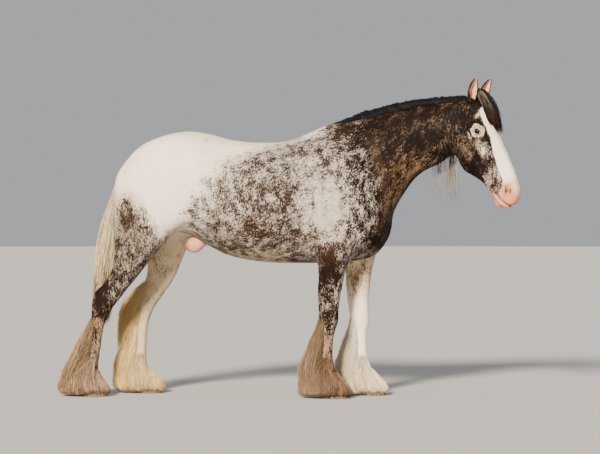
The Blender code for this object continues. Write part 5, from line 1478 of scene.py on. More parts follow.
def make_feather(leg, side, hair):
    """Long hair from the back of the cannon, the fetlock and the coronet, over the hoof."""
    draw = np.random.default_rng(SEEDS["feather"] + LEG_PARTS[leg, side])
    side_name = "right" if side < 0.0 else "left"
    steps = len(FEATHER_SPREAD)
    down = np.linspace(0.0, 1.0, steps)[None, :]
    all_paths, all_outs, all_roots, all_groups = [], [], [], []
    shaggy = leg == "hindleg" and side > 0.0
    tiers = [(FEATHER, tier) for tier in FEATHER_TIERS] + ([(HOCK_FEATHER, HOCK_TIER)] if shaggy else [])
    for rows, (_, part, round_back, high, low, length, width) in tiers:
        count = int(hair.feather_hairs * part)
        turn = np.radians(-90.0 + draw.uniform(-round_back, round_back, (count, 1)))
        top = blend(low, high, draw.random((count, 1)))
        least = draw.uniform(0.003, 0.014, (count, 1))
        end = np.maximum(least, top - length * draw.uniform(0.55, 1.12, (count, 1)))
        reach = width * draw.uniform(0.1, 1.05, (count, 1)) ** 0.6
        reach = reach * np.where(draw.random((count, 1)) < 0.05, draw.uniform(1.0, 1.12, (count, 1)), 1.0)
        share = np.array(FEATHER_SPREAD)[None, :] * reach
        height = blend(top, end, down)
        swirl = draw.normal(0.0, 0.1, (count, 1)) * down
        paths, outs = feather_place(leg, side, height, turn + swirl, share, rows)
        order = np.argsort(np.argsort(turn[:, 0] + 0.25 * draw.random(count)))
        groups = (order * LOCKS // count).astype(int)
        paths = waved(gathered_in(paths, groups, 0.72), draw, 0.01, 0.9, groups)
        all_paths.append(paths)
        all_groups.append(groups + LOCKS * len(all_groups))
        all_outs.append(outs)
        all_roots.append(np.concatenate([turn, top], axis=1))
    paths = waved(np.concatenate(all_paths), draw, 0.003, 1.1)
    groups = np.concatenate(all_groups)
    paths[..., 2] = np.maximum(paths[..., 2], 0.002)
    total = len(paths)
    outs = np.concatenate(all_outs)
    roots = np.concatenate(all_roots)
    widths = draw.uniform(0.0014, 0.0032, total)
    mesh, shares = strand_mesh(f"feather_{leg}_{side_name}", paths, outs, widths, 0.0011, HAIR_PROFILE, roots)
    rows = []
    for codes, weights in FEATHER_COLOURS[leg, side]:
        lock = colour_rows(draw, groups.max() + 1, codes, weights)[groups]
        rows.append(blend(colour_rows(draw, total, codes, weights), lock, 0.6))
    root, tip, front = rows
    round_back = np.abs(roots[:, :1] + np.pi / 2.0)
    ahead = step_up(1.2, 2.0, round_back + draw.normal(0.0, 0.25, (total, 1)))
    root = blend(root, front, ahead)
    tip = blend(tip, front, ahead)
    strand_tint(mesh, shares, root, tip, 0.45, draw, 0.1)
    piece(mesh, hair_material("leg feather"))


def make_tufts(name, seed, hair, parts):
    """Short flat tufts over the skin, each along the lie of the coat where it is rooted, with the
    skin's own markings. Roots fall evenly by area, at random places in its triangles, and closer
    where the coat is short or hangs from an edge of the body."""
    draw = np.random.default_rng(seed)
    skin = bpy.data.objects["skin"].data
    points, normals = points_of(skin), normals_of(skin)
    skin.calc_loop_triangles()
    triangles = fetch(skin.loop_triangles, "vertices", 3, np.int32)
    part = part_of(points)
    one, two, three = points[triangles].swapaxes(0, 1)
    area = np.linalg.norm(np.cross(two - one, three - one), axis=1)
    corner = triangles[:, 0]
    weight = area * np.isin(part[corner], parts) / values_of(skin, "Length", 1)[corner, 0] ** 0.7
    weight *= step_up(0.1, 0.16, one[:, 2])
    weight *= 1.0 + 1.5 * step_up(-0.2, -0.9, normals[corner, 2])
    for eye in both_sides(*EYE):
        weight *= step_up(0.022, 0.034, np.linalg.norm(one - eye, axis=1))
    count = hair.tufts_each
    chosen = draw.choice(len(triangles), count, p=weight / weight.sum())
    share = draw.dirichlet((1.0, 1.0, 1.0), count)[..., None]
    widths = {"Lie": 3, "Light": 4, "Deep": 4, "Cover": 1, "Length": 1, "Flecks": 3}
    kept = {key: values_of(skin, key, width) for key, width in widths.items()}
    kept.update(place=points, normal=normals)
    mixed = {key: (values[triangles[chosen]] * share).sum(axis=1) for key, values in kept.items()}
    out = unit(mixed["normal"])
    lie = unit(mixed["Lie"] + 0.13 * draw.normal(size=(count, 3)))
    lie = unit(lie - out * (lie * out).sum(axis=1)[:, None])
    long = mixed["Length"] * draw.uniform(0.7, 1.25, (count, 1))
    rise = long * draw.uniform(0.01, 0.05, (count, 1)) + 0.0003
    base = mixed["place"] - out * 0.0006
    middle = base + lie * long * 0.45 + out * (rise + 0.0006)
    paths = np.stack([base, middle, base + lie * long + out * (rise * 1.5 + 0.0006)], axis=1)
    own_part = part[corner[chosen]]
    roots = unwrap(mixed["place"], own_part) + np.array(STRIPS)[own_part]
    widths = np.clip(long[:, 0] * 0.1, 0.001, 0.0026)
    mesh, shares = strand_mesh(name, paths, out, widths, 0.0003, (1.0, 1.0, 0.6), roots)
    mesh.shade_flat()
    mixed["Cover"] = mixed["Cover"][:, 0]
    for key in ("Light", "Deep", "Cover", "Flecks"):
        set_values(mesh, key, np.repeat(mixed[key], len(shares), axis=0))
    piece(mesh, coat_material())


def make_eye(side_name, face):
    """A ball with a bulged cornea. Rings of equal angle from the gaze carry the dark pupil, the
    brown iris with its darker rim, and the white."""
    side = SIDES[side_name]
    centre, out, nose, up = eye_axes(side)
    rows, columns = 56, 64
    away = np.linspace(0.6, 179.4, rows)[:, None]
    turn = full_turn(columns)
    bulge = 1.0 + 0.035 * step_up(44.0, 12.0, away)
    angle = np.radians(away)
    ball = (
        out * np.cos(angle)[..., None]
        + nose * (np.sin(angle) * np.cos(turn))[..., None]
        + up * (np.sin(angle) * np.sin(turn))[..., None]
    )
    mesh = loft(f"eyeball_{side_name}", centre + ball * (EYE_RADIUS * bulge)[..., None] * 0.985)
    iris = math.degrees(face.iris_angle)
    wide = np.hypot(away * np.cos(turn) / 1.5, away * np.sin(turn))
    colours = np.tile(np.array(face.eye_white), (rows, columns, 1))
    fibre = 0.5 + 0.5 * np.sin(turn * 23.0 + 2.0 * np.sin(turn * 7.0))
    brown = np.array(face.iris_colour)
    brown = blend(brown, brown * 1.9, fibre[:, None])
    colours = blend(colours, brown, step_up(iris + 2.5, iris - 1.0, away)[..., None])
    rim = soft_spot((away, iris, 4.0))[..., None]
    colours = blend(colours, np.array((0.012, 0.009, 0.008)), 0.8 * rim)
    pupil = step_up(15.0, 12.5, wide)[..., None]
    colours = blend(colours, np.array((0.004, 0.004, 0.006)), pupil)
    corner = step_up(58.0, 80.0, away)[..., None]
    colours = blend(colours, srgb("#C98F7E"), 0.7 * corner)
    set_values(mesh, "Tint", with_ends(colours))
    piece(mesh, eye_material(), [f"eye_{side_name}"])


def lid_line(side, bulge, swing):
    """Places along the edge of a lid, from its back corner (-1) to its front one (1)."""
    centre, out, nose, up = eye_axes(side)
    u = EYE_OPENING * swing
    v = bulge * (1.0 - swing * swing)
    return centre + nose * u + up * v + out * dome_level(u, v)


def lid_rings(side, bulge, size):
    """Rings of a roll of skin round the lid's edge, finest at the corners of the eye."""
    centre, _, _, up = eye_axes(side)
    swing = np.linspace(-1.04, 1.04, 37)[:, None]
    middle = lid_line(side, bulge, swing)
    away = unit(middle - centre)
    edge = up * math.copysign(1.0, bulge)
    edge = unit(edge - away * (away @ edge)[:, None])
    girth = size * blend(0.55, 1.0, np.sqrt(np.maximum(0.0, 1.0 - swing * swing)))
    turn = full_turn(14)
    return (
        middle[:, None]
        + away[:, None] * (girth * np.cos(turn))[..., None]
        + edge[:, None] * (girth * 1.3 * (0.5 + np.sin(turn)))[..., None]
    )


def make_lids(side_name, looks, hair):
    """The rims of both lids, pale with a dark inner edge, and the lashes of the upper one."""
    side = SIDES[side_name]
    rolls = [lid_rings(side, UPPER_LID, LID_THICKNESS), lid_rings(side, LOWER_LID, LID_THICKNESS * 0.9)]
    mesh = many_lofts(f"eyelids_{side_name}", rolls)
    centre, out, nose, up = eye_axes(side)
    edge = np.linalg.norm(points_of(mesh) - centre, axis=1) - EYE_RADIUS
    cover = blend(0.9, 0.3, step_up(0.0, LID_THICKNESS * 1.6, edge))
    coat_piece(mesh, looks.eye_skin, looks.face_dark, cover, [0, 2])
    draw = np.random.default_rng(SEEDS["lashes"])
    lashes = hair.lashes
    swing = draw.uniform(-0.8, 0.8, (lashes, 1))
    root = lid_line(side, UPPER_LID, swing) + out * LID_THICKNESS * 0.7
    way = unit(out * 1.0 - up * 0.1 + nose * 0.5 * swing + 0.12 * draw.normal(size=(lashes, 3)))
    long = draw.uniform(0.005, 0.009, (lashes, 1))
    paths = np.stack([root, root + way * long * 0.5 - up * 0.001, root + way * long - up * 0.004], axis=1)
    mesh, shares = strand_mesh(
        f"eyelashes_{side_name}", paths, np.broadcast_to(up, (lashes, 3)), 0.0004, 0.0004, (1.0, 0.7),
        np.concatenate([swing, long], axis=1),
    )
    pale = colour_rows(draw, lashes, ("#A89886", "#3A2C24"), (1, 2))
    strand_tint(mesh, shares, pale, pale, 0.5, draw, 0.1)
    piece(mesh, hair_material("eyelash hair"))


def make_ear(side_name, looks, hair):
    """A cup open to the front, from a round base to a point. Each ring runs round the outer wall
    and back round the inner one, from one edge of the opening to the other."""
    side = SIDES[side_name]
    base = head_point(EAR_BASE[0], EAR_BASE[1], side * EAR_BASE[2])
    rise = head_point(EAR_TIP[0], EAR_TIP[1], side * EAR_TIP[2]) - base
    up = unit(rise)
    facing = head_way(0.0, -1.0, side * EAR_FACING[side_name])
    facing = unit(facing - up * (facing @ up))
    across = np.cross(up, facing)
    rows, across_wall = 44, 22
    share = np.linspace(EAR[0][0], EAR[-1][0], rows)
    half_width, opening = row_values(EAR, share)
    kernel = np.array((1.0, 2.0, 3.0, 2.0, 1.0)) / 9.0
    half_width = np.convolve(np.pad(half_width, 2, "edge"), kernel, "valid")
    opening = np.convolve(np.pad(opening, 2, "edge"), kernel, "valid")
    wall = np.minimum(EAR_WALL * 0.8, half_width * 0.45)
    swing = np.linspace(-1.0, 1.0, across_wall)
    wrap = (np.pi - opening)[:, None]
    turn = np.concatenate([wrap * swing, wrap * swing[::-1]], axis=1)
    radius = np.repeat(np.stack([half_width, half_width - wall], axis=1), across_wall, axis=1)
    middle = base + rise * share[:, None] + facing * (EAR_BOW * np.sin(np.pi * share))[:, None]
    rings = (
        middle[:, None]
        - facing * (np.cos(turn) * radius * 0.85)[..., None]
        + across * (np.sin(turn) * radius)[..., None]
    )
    mesh = loft(f"ear_shell_{side_name}", rings)
    inner = np.tile(np.repeat([0.0, 1.0], across_wall), (rows, 1))
    edge = np.tile(np.abs(swing), (rows, 2))
    height = np.repeat(share[:, None], 2 * across_wall, axis=1)
    peach = blend(np.array(looks.ear_inside), srgb("#C98E72"), (0.6 * step_up(0.35, 0.0, height))[..., None])
    light = blend(np.array(looks.barrel_colour), peach, inner[..., None])
    cover = blend(0.95, 0.02, inner)
    cover = blend(cover, 0.92, step_up(0.86, 0.97, edge) * step_up(0.98, 0.8, height))
    cover = blend(cover, 0.3, step_up(0.9, 0.97, height))
    nodes = [f"ear_{side_name}"]
    coat_piece(mesh, with_ends(light), looks.face_dark, with_ends(cover), [1, 2], nodes)

    draw = np.random.default_rng(SEEDS["ears"])
    count = hair.ear_hairs
    # Dark hairs stand along both edges of the opening, pale ones on the lining.
    place = draw.integers(3, rows - 4, count)
    at_start = draw.random(count) < 0.5
    start_edge = draw.integers(0, 4, count)
    end_edge = draw.integers(across_wall - 4, across_wall, count)
    fill = draw.random(count) < 0.45
    lining = draw.integers(across_wall, 2 * across_wall, count)
    column = np.where(fill, lining, np.where(at_start, start_edge, end_edge))
    root = rings[place, column]
    way = unit(up + facing * draw.uniform(0.0, 0.35, (count, 1)) + 0.14 * draw.normal(size=(count, 3)))
    long = draw.uniform(0.008, 0.015, (count, 1))
    long = long * np.interp(share[place], (0.0, 0.3, 1.0), (1.3, 1.2, 0.5))[:, None]
    paths = np.stack([root, root + way * long * 0.5, root + way * long - facing * long * 0.2], axis=1)
    mesh, shares = strand_mesh(
        f"ear_hair_{side_name}", paths, np.broadcast_to(facing, (count, 3)), 0.0009, 0.0005, (1.0, 0.8),
        np.stack([share[place], column / (2.0 * across_wall)], axis=-1),
    )
    pale = colour_rows(draw, count, ("#E6C6A4", "#D8AE88", "#F0DCC4"), (3, 2, 1))
    dark = colour_rows(draw, count, ("#2C2523", "#3C332F"), (1, 1))
    root_colour = np.where(fill[:, None], pale, dark)
    strand_tint(mesh, shares, root_colour, root_colour, 0.5, draw, 0.12)
    piece(mesh, hair_material("ear hair"))


def make_whiskers(face):
    """Stiff single hairs round the lips, the chin and the nostrils."""
    draw = np.random.default_rng(SEEDS["whiskers"])
    count = face.whiskers
    skin = bpy.data.objects["skin"].data
    points, normals = points_of(skin), normals_of(skin)
    along, depth, side = in_head(points)
    muzzle = np.flatnonzero((along > 0.52) & (depth > 0.06) & (part_of(points) == HEAD_PART))
    chosen = draw.choice(muzzle, count)
    way = unit(normals[chosen] + 0.35 * draw.normal(size=(count, 3)) + np.array((0.1, 0.0, -0.3)))
    long = draw.uniform(0.008, 0.034, (count, 1))
    root = points[chosen] - normals[chosen] * 0.001
    droop = np.array((0.0, 0.0, -0.15)) * long
    paths = np.stack([root, root + way * long * 0.5, root + way * long + droop], axis=1)
    mesh, shares = strand_mesh(
        "whiskers", paths, np.tile((0.3, 0.2, 0.93), (count, 1)), 0.0008, 0.0007, (1.0, 0.7),
        np.stack([along[chosen], side[chosen]], axis=-1),
    )
    tone = colour_rows(draw, count, ("#E4D4BE", "#8A7868"), (2, 1))
    strand_tint(mesh, shares, tone, tone, 0.5, draw, 0.1)
    piece(mesh, hair_material("whisker hair"))


def make_hoof(leg, side_name):
    """A horn wall from the floor up to a coronet that rises to the toe, with shallow growth rings
    that follow it. The Horn map is the wall rolled out flat, in metres."""
    side = SIDES[side_name]
    front, back, _, out = leg_at(leg, side, CORONET_HEIGHT)
    middle = (front + back) / 2.0
    share = np.concatenate([[0.0, 0.02], np.linspace(0.06, 1.0, 26)])[:, None]
    turn = full_turn(64)
    settle = np.clip(share / 0.12, 0.0, 1.0)
    flare = blend(1.0, 0.99, settle) * (1.0 - 0.03 * np.clip((0.03 - share) / 0.03, 0.0, 1.0))
    ripple = 1.0 - 0.004 * (0.5 + 0.5 * np.sin(share * 44.0)) * settle
    half_length = blend(HOOF_LENGTH, CORONET_LENGTH, share) / 2.0 * flare * ripple
    half_width = blend(HOOF_WIDTH, CORONET_WIDTH, share) / 2.0 * flare * ripple
    ahead = middle + blend(HOOF_AHEAD, 0.0, share)
    x = half_length * np.cos(turn)
    squeeze = np.where(x > 0.0, 1.0, 0.93)
    rise = (CORONET_HEIGHT + x * math.tan(CORONET_TILT)) * share
    rings = xyz(ahead + x, out + squeeze * half_width * np.sin(turn), rise)
    mesh = loft(f"hoof_{leg}_{side_name}", rings)
    corners = corners_of(mesh)
    girth, height = 0.42, 0.09
    grid = np.stack(np.broadcast_arrays(turn / (2.0 * np.pi) * girth, share * height), axis=-1).reshape(-1, 2)
    grid = np.concatenate([grid, [[0.0, 0.0], [0.0, height]]])
    set_map(mesh, "Horn", grid[corners])
    piece(mesh, hoof_material(), [f"{leg}_{side_name}_hoof"])


def make_sheath(looks):
    """A soft egg of skin with cross folds and a hollow opening at its front end."""
    rings = egg_rings(SHEATH_PLACE, SHEATH_RADII, SHEATH_LEAN, 40, 48)
    local = rings - np.array(SHEATH_PLACE)
    along = local[..., 0] * math.cos(SHEATH_LEAN) + local[..., 2] * math.sin(SHEATH_LEAN)
    ripple = np.sin(along / 0.0052 + 0.8 * np.sin(local[..., 1] / 0.012))
    fold = 1.0 + 0.022 * ripple * step_up(-0.02, 0.05, along)
    ahead = step_up(-0.03, 0.078, along)
    taper = fold * (1.0 - 0.5 * ahead)
    lean_way = np.array((math.cos(SHEATH_LEAN), 0.0, math.sin(SHEATH_LEAN)))
    rings = np.array(SHEATH_PLACE) + along[..., None] * lean_way
    rings = rings + (local - along[..., None] * lean_way) * taper[..., None]
    rings[..., 2] += 0.014 * ahead
    mouth = np.array(SHEATH_PLACE) + np.array((0.07, 0.0, -0.012))
    gap = np.linalg.norm(rings - mouth, axis=-1)
    rings[..., 0] -= 0.022 * soft_spot((gap, 0.0, 0.03))
    mesh = loft("sheath_skin", rings)
    points = points_of(mesh)
    gap = np.linalg.norm(points - mouth + np.array((0.012, 0.0, 0.0)), axis=1)
    light = np.tile(np.array(looks.pink_skin), (len(points), 1))
    # The opening is painted dark: dark pink skin inside it, with painted shade in its hollow.
    light = blend(light, np.array(looks.dark_pink_and_shade), (0.9 * step_up(0.026, 0.01, gap))[:, None])
    # Painted shade darkens the rear end, where the sheath tucks in against the belly between the thighs.
    back = (points - np.array(SHEATH_PLACE)) @ lean_way
    light = blend(light, np.array(looks.dark_pink_and_shade), (0.6 * step_up(-0.04, -0.066, back))[:, None])
    light = blend(light, srgb("#C4836A"), (0.5 * step_up(0.02, 0.06, back))[:, None])
    coat_piece(mesh, light, srgb("#6B4A40"), 0.1, [0, 2], ["sheath"])


def add_node(tree, kind, values=(), **settings):
    """A shader node with its settings. Each value of its sockets is a number or colour, or the
    output of another node, which is linked to it."""
    node = tree.nodes.new(kind)
    for name, value in settings.items():
        setattr(node, name, value)
    for socket, value in dict(values).items():
        if isinstance(value, bpy.types.NodeSocket):
            tree.links.new(value, node.inputs[socket])
        else:
            node.inputs[socket].default_value = value
    return node


def new_material(name, roughness, specular, **values):
    """A material with its tree and shader, or an earlier one of that name and two blanks."""
    material = bpy.data.materials.get(name)
    if material:
        return material, None, None
    material = bpy.data.materials.new(name)
    material.use_nodes = True
    shader = material.node_tree.nodes["Principled BSDF"]
    shader.inputs["Roughness"].default_value = roughness
    shader.inputs["Specular IOR Level"].default_value = specular
    for socket, value in values.items():
        shader.inputs[socket.replace("_", " ")].default_value = value
    return material, material.node_tree, shader


def paint(tree, shader, colour, grain, lowest, highest):
    """The base colour is a colour made darker and lighter by a grain, from lowest to highest."""
    tone = add_node(tree, "ShaderNodeMapRange", {
        "Value": grain.outputs["Fac"],
        "From Min": 0.3, "From Max": 0.7, "To Min": lowest, "To Max": highest,
    })
    tinted = add_node(
        tree, "ShaderNodeVectorMath", {0: colour, "Scale": tone.outputs["Result"]}, operation="SCALE"
    )
    tree.links.new(tinted.outputs[0], shader.inputs["Base Color"])


def emboss(tree, shader, height, strength, distance):
    """The fine relief that a noise gives, of a strength and a height in metres."""
    bump = add_node(
        tree, "ShaderNodeBump", {"Height": height.outputs["Fac"], "Strength": strength, "Distance": distance}
    )
    tree.links.new(bump.outputs[0], shader.inputs["Normal"])


def stretched_noise(tree, place, scale, detail=2.0):
    """Noise over places that are first scaled by a number on each axis."""
    stretch = add_node(tree, "ShaderNodeMapping", {"Vector": place, "Scale": scale}).outputs[0]
    return add_node(tree, "ShaderNodeTexNoise", {"Vector": stretch, "Scale": 1.0, "Detail": detail})


def coat_material():
    """Short horse coat: a light colour broken by dark flecks, of the share that Cover gives."""
    material, tree, shader = new_material("appaloosa coat", 0.62, 0.06)
    if tree is None:
        return material
    place = add_node(tree, "ShaderNodeAttribute", attribute_name="Flecks").outputs["Vector"]
    # Flecks 7 mm wide and 12 mm tall that fray at 2 mm, gathered in clouds of 40 mm.
    fine = add_node(tree, "ShaderNodeTexNoise", {
        "Vector": place, "Scale": 135.0, "Detail": 3.0, "Roughness": 0.64, "Lacunarity": 2.2,
    })
    clouds = add_node(tree, "ShaderNodeTexNoise", {"Vector": place, "Scale": 25.0, "Detail": 2.0})
    both = add_node(
        tree, "ShaderNodeMix", {"Factor": 0.36, "A": fine.outputs["Fac"], "B": clouds.outputs["Fac"]}
    ).outputs["Result"]
    # The share of dark becomes a shift of the threshold: 0.047 ln(c / (1 - c)).
    cover = add_node(tree, "ShaderNodeAttribute", attribute_name="Cover").outputs["Fac"]
    rest = add_node(tree, "ShaderNodeMath", {0: 1.0, 1: cover}, operation="SUBTRACT")
    odds = add_node(tree, "ShaderNodeMath", {0: cover, 1: rest.outputs[0]}, operation="DIVIDE")
    power = add_node(tree, "ShaderNodeMath", {0: odds.outputs[0], 1: math.e}, operation="LOGARITHM")
    shift = add_node(tree, "ShaderNodeMath", {0: power.outputs[0], 1: 0.047}, operation="MULTIPLY")
    level = add_node(tree, "ShaderNodeMath", {0: both, 1: shift.outputs[0]}, operation="ADD")
    mask = add_node(
        tree, "ShaderNodeMapRange", {"Value": level.outputs[0], "From Min": 0.408, "From Max": 0.592},
        interpolation_type="SMOOTHSTEP",
    ).outputs["Result"]
    light = add_node(tree, "ShaderNodeAttribute", attribute_name="Light").outputs["Color"]
    deep = add_node(tree, "ShaderNodeAttribute", attribute_name="Deep").outputs["Color"]
    mix = add_node(tree, "ShaderNodeMix", {"Factor": mask, "A": light, "B": deep}, data_type="RGBA")
    # Single hairs vary the tone by about a tenth.
    grain = add_node(tree, "ShaderNodeTexNoise", {"Vector": place, "Scale": 600.0, "Detail": 2.0})
    paint(tree, shader, mix.outputs["Result"], grain, 0.84, 1.12)
    # Hairs 1.5 mm apart and 20 mm long along the lie of the coat.
    lie = add_node(tree, "ShaderNodeUVMap", uv_map="HairLie").outputs[0]
    emboss(tree, shader, stretched_noise(tree, lie, (650.0, 50.0, 1.0)), 0.5, 0.0015)
    return material


def hair_material(name):
    """Long horse hair: the tint of each hair, with streaks 2.4 mm wide and 38 mm tall on it."""
    material, tree, shader = new_material(name, 0.5, 0.12)
    if tree is None:
        return material
    tint = add_node(tree, "ShaderNodeAttribute", attribute_name="Tint").outputs["Color"]
    place = add_node(tree, "ShaderNodeTexCoord").outputs["Object"]
    paint(tree, shader, tint, stretched_noise(tree, place, (420.0, 420.0, 26.0)), 0.84, 1.14)
    return material


def eye_material():
    """A wet eye, its colours kept at its points, with veins 1.4 mm apart."""
    material, tree, shader = new_material("wet eye", 0.05, 0.25, Coat_Weight=0.1, Coat_Roughness=0.03)
    if tree is None:
        return material
    tint = add_node(tree, "ShaderNodeAttribute", attribute_name="Tint").outputs["Color"]
    place = add_node(tree, "ShaderNodeTexCoord").outputs["Object"]
    veins = add_node(tree, "ShaderNodeTexNoise", {"Vector": place, "Scale": 700.0, "Detail": 3.0})
    paint(tree, shader, tint, veins, 0.9, 1.05)
    return material


def hoof_material():
    """Hoof horn: tan, with the darker upright stripes of the breed and fine growth rings."""
    material, tree, shader = new_material("striped hoof horn", 0.5, 0.35)
    if tree is None:
        return material
    place = add_node(tree, "ShaderNodeUVMap", uv_map="Horn").outputs[0]
    stripes = stretched_noise(tree, place, (75.0, 5.0, 1.0), 3.0)
    ramp = add_node(tree, "ShaderNodeValToRGB", {"Fac": stripes.outputs["Fac"]})
    for element, position, code in zip(ramp.color_ramp.elements, (0.42, 0.58), ("#453529", "#8F7757")):
        element.position = position
        element.color = (*swatch(code), 1.0)
    tree.links.new(ramp.outputs["Color"], shader.inputs["Base Color"])
    emboss(tree, shader, stretched_noise(tree, place, (4.0, 420.0, 1.0)), 0.4, 0.001)
    return material


def colour_setting(name, description, code):
    """A colour among the settings, with its hex code as its default."""
    return FloatVectorProperty(
        name=name, description=description, subtype="COLOR", size=3, min=0.0, max=1.0, default=swatch(code)
    )


class CoatSettings(bpy.types.PropertyGroup):
    """Depth and colours of the short coat and the bare skin."""

    coat_depth: FloatProperty(
        name="Coat depth", description="How far the skin lies inside the outline of the coat",
        default=0.003, min=0.0, subtype="DISTANCE", unit="LENGTH",
    )
    croup_colour: colour_setting("Croup", "White of the croup and loins", "#F4E8D5")
    barrel_colour: colour_setting("Barrel", "Pale hair between the flecks of the barrel", "#C2B7AB")
    white_colour: colour_setting("White", "White of the blaze", "#F4E8D4")
    cream_colour: colour_setting("Cream", "Cream of the belly and the far legs", "#E2CDA8")
    roan_colour: colour_setting("Roan", "Pale hairs among the dark of the neck and the cheek", "#75604E")
    ochre_colour: colour_setting("Ochre", "Pale hairs of the lower neck and the breast", "#8C6D49")
    cannon_colour: colour_setting("Near cannons", "Tan of the near cannons", "#A0846C")
    far_cannon: colour_setting("Far cannon", "White of the far fore cannon", "#F9E9D0")
    barrel_dark: colour_setting("Barrel flecks", "Dark hair of the barrel and quarters", "#2E2119")
    grey_dark: colour_setting("Back flecks", "Dark grey hair of the back", "#2A231F")
    neck_colour: colour_setting("Neck", "Brown black of the neck and the breast", "#150D09")
    reddish_dark: colour_setting(
        "Reddish brown", "Reddish brown of the lower flank and the shoulder's edge", "#36231B"
    )
    leg_dark: colour_setting("Leg", "Dark hair of the near legs", "#1C100A")
    far_dark: colour_setting("Far leg", "Golden brown hair of the far legs", "#7A5C38")
    face_dark: colour_setting("Face", "Dark hair of the cheek and the forehead", "#130D0A")
    pink_skin: colour_setting("Bare skin", "Pink skin of the sheath and the groin", "#D6A084")
    eye_skin: colour_setting("Skin round the eye", "Bare pale skin round the eye", "#D0B2A1")
    muzzle_colour: colour_setting("Muzzle", "Pink of the muzzle and the lips", "#DB9472")
    # Dark pink skin, darkened further to stand for shade in hollows: the nostril, the line of the mouth, the
    # sheath's opening and its rear end.
    dark_pink_and_shade: colour_setting("Nostril", "Dark pink skin and painted shade in the nostril, along the lips and on the sheath", "#5A2C22")
    ear_inside: colour_setting("Ear lining", "Peach lining of the ear", "#F0B692")


class HairSettings(bpy.types.PropertyGroup):
    """How many hairs each of the long parts has, and how many tufts the short coat."""

    mane_hairs: IntProperty(name="Mane hairs", description="Hairs of the mane", default=7800, min=1)
    forelock_hairs: IntProperty(
        name="Forelock hairs", description="Hairs of the forelock", default=1900, min=1
    )
    throat_wisps: IntProperty(
        name="Throat wisps", description="Hairs that hang past the throat", default=110, min=1
    )
    tail_hairs: IntProperty(name="Tail hairs", description="Hairs of the tail", default=5500, min=1)
    feather_hairs: IntProperty(
        name="Feather hairs", description="Hairs of each leg's feather", default=7000, min=1
    )
    ear_hairs: IntProperty(name="Ear hairs", description="Hairs in each ear", default=900, min=1)
    lashes: IntProperty(name="Lashes", description="Lashes of each upper lid", default=90, min=1)
    tufts_each: IntProperty(
        name="Coat tufts", description="Tufts in each piece of the coat", default=16500, min=1
    )


class FaceSettings(bpy.types.PropertyGroup):
    """Colours and sizes of the eyes, and the count of the whiskers."""

    iris_angle: FloatProperty(
        name="Iris", description="Half the angle that the iris takes of the eyeball",
        default=math.radians(39.0), min=0.1, max=1.4, subtype="ANGLE", unit="ROTATION",
    )
    iris_colour: colour_setting("Iris", "Dark brown of the iris", "#170E0A")
    eye_white: colour_setting("Eye white", "White of the eye", "#E6DFD6")
    whiskers: IntProperty(name="Whiskers", description="Single hairs round the muzzle", default=150, min=1)


class StageSettings(bpy.types.PropertyGroup):
    """The floor, the light and the camera."""

    floor_colour: colour_setting("Floor", "Pale floor", "#C6C4C2")
    floor_radius: FloatProperty(
        name="Floor radius", description="Radius of the round floor", default=60.0, min=5.0,
        subtype="DISTANCE", unit="LENGTH",
    )
    key_power: FloatProperty(
        name="Key light", description="Strength of the soft key light", default=9.5, min=0.0
    )
    key_place: FloatVectorProperty(
        name="Key place", description="Where the key light stands, turned to the horse's barrel",
        default=(-1.8, -11.0, 5.6), subtype="TRANSLATION", unit="LENGTH",
    )
    world_power: FloatProperty(
        name="Fill light", description="Strength of the pale surroundings", default=0.46, min=0.0
    )
    camera_place: FloatVectorProperty(
        name="Camera", description="Place of the camera", default=(2.1515, -14.845, 1.05),
        subtype="TRANSLATION", unit="LENGTH",
    )
    camera_turn: FloatProperty(
        name="Camera turn", description="Turn of the level camera about the vertical",
        default=math.radians(8.0), subtype="ANGLE", unit="ROTATION",
    )
    camera_lens: FloatProperty(
        name="Lens", description="Focal length in millimetres, for a picture 36 mm wide",
        default=160.4, min=10.0, unit="CAMERA",
    )
    camera_shift: FloatProperty(
        name="Picture shift", description="How far the picture is moved up, as a share of its width",
        default=-0.0303,
    )


# The floor's level, a hair under the hooves, its corners, and the place that the key light faces.
FLOOR_LEVEL = -0.0005
FLOOR_SIDES = 96
BARREL_MIDDLE = (0.0, 0.0, 0.9)


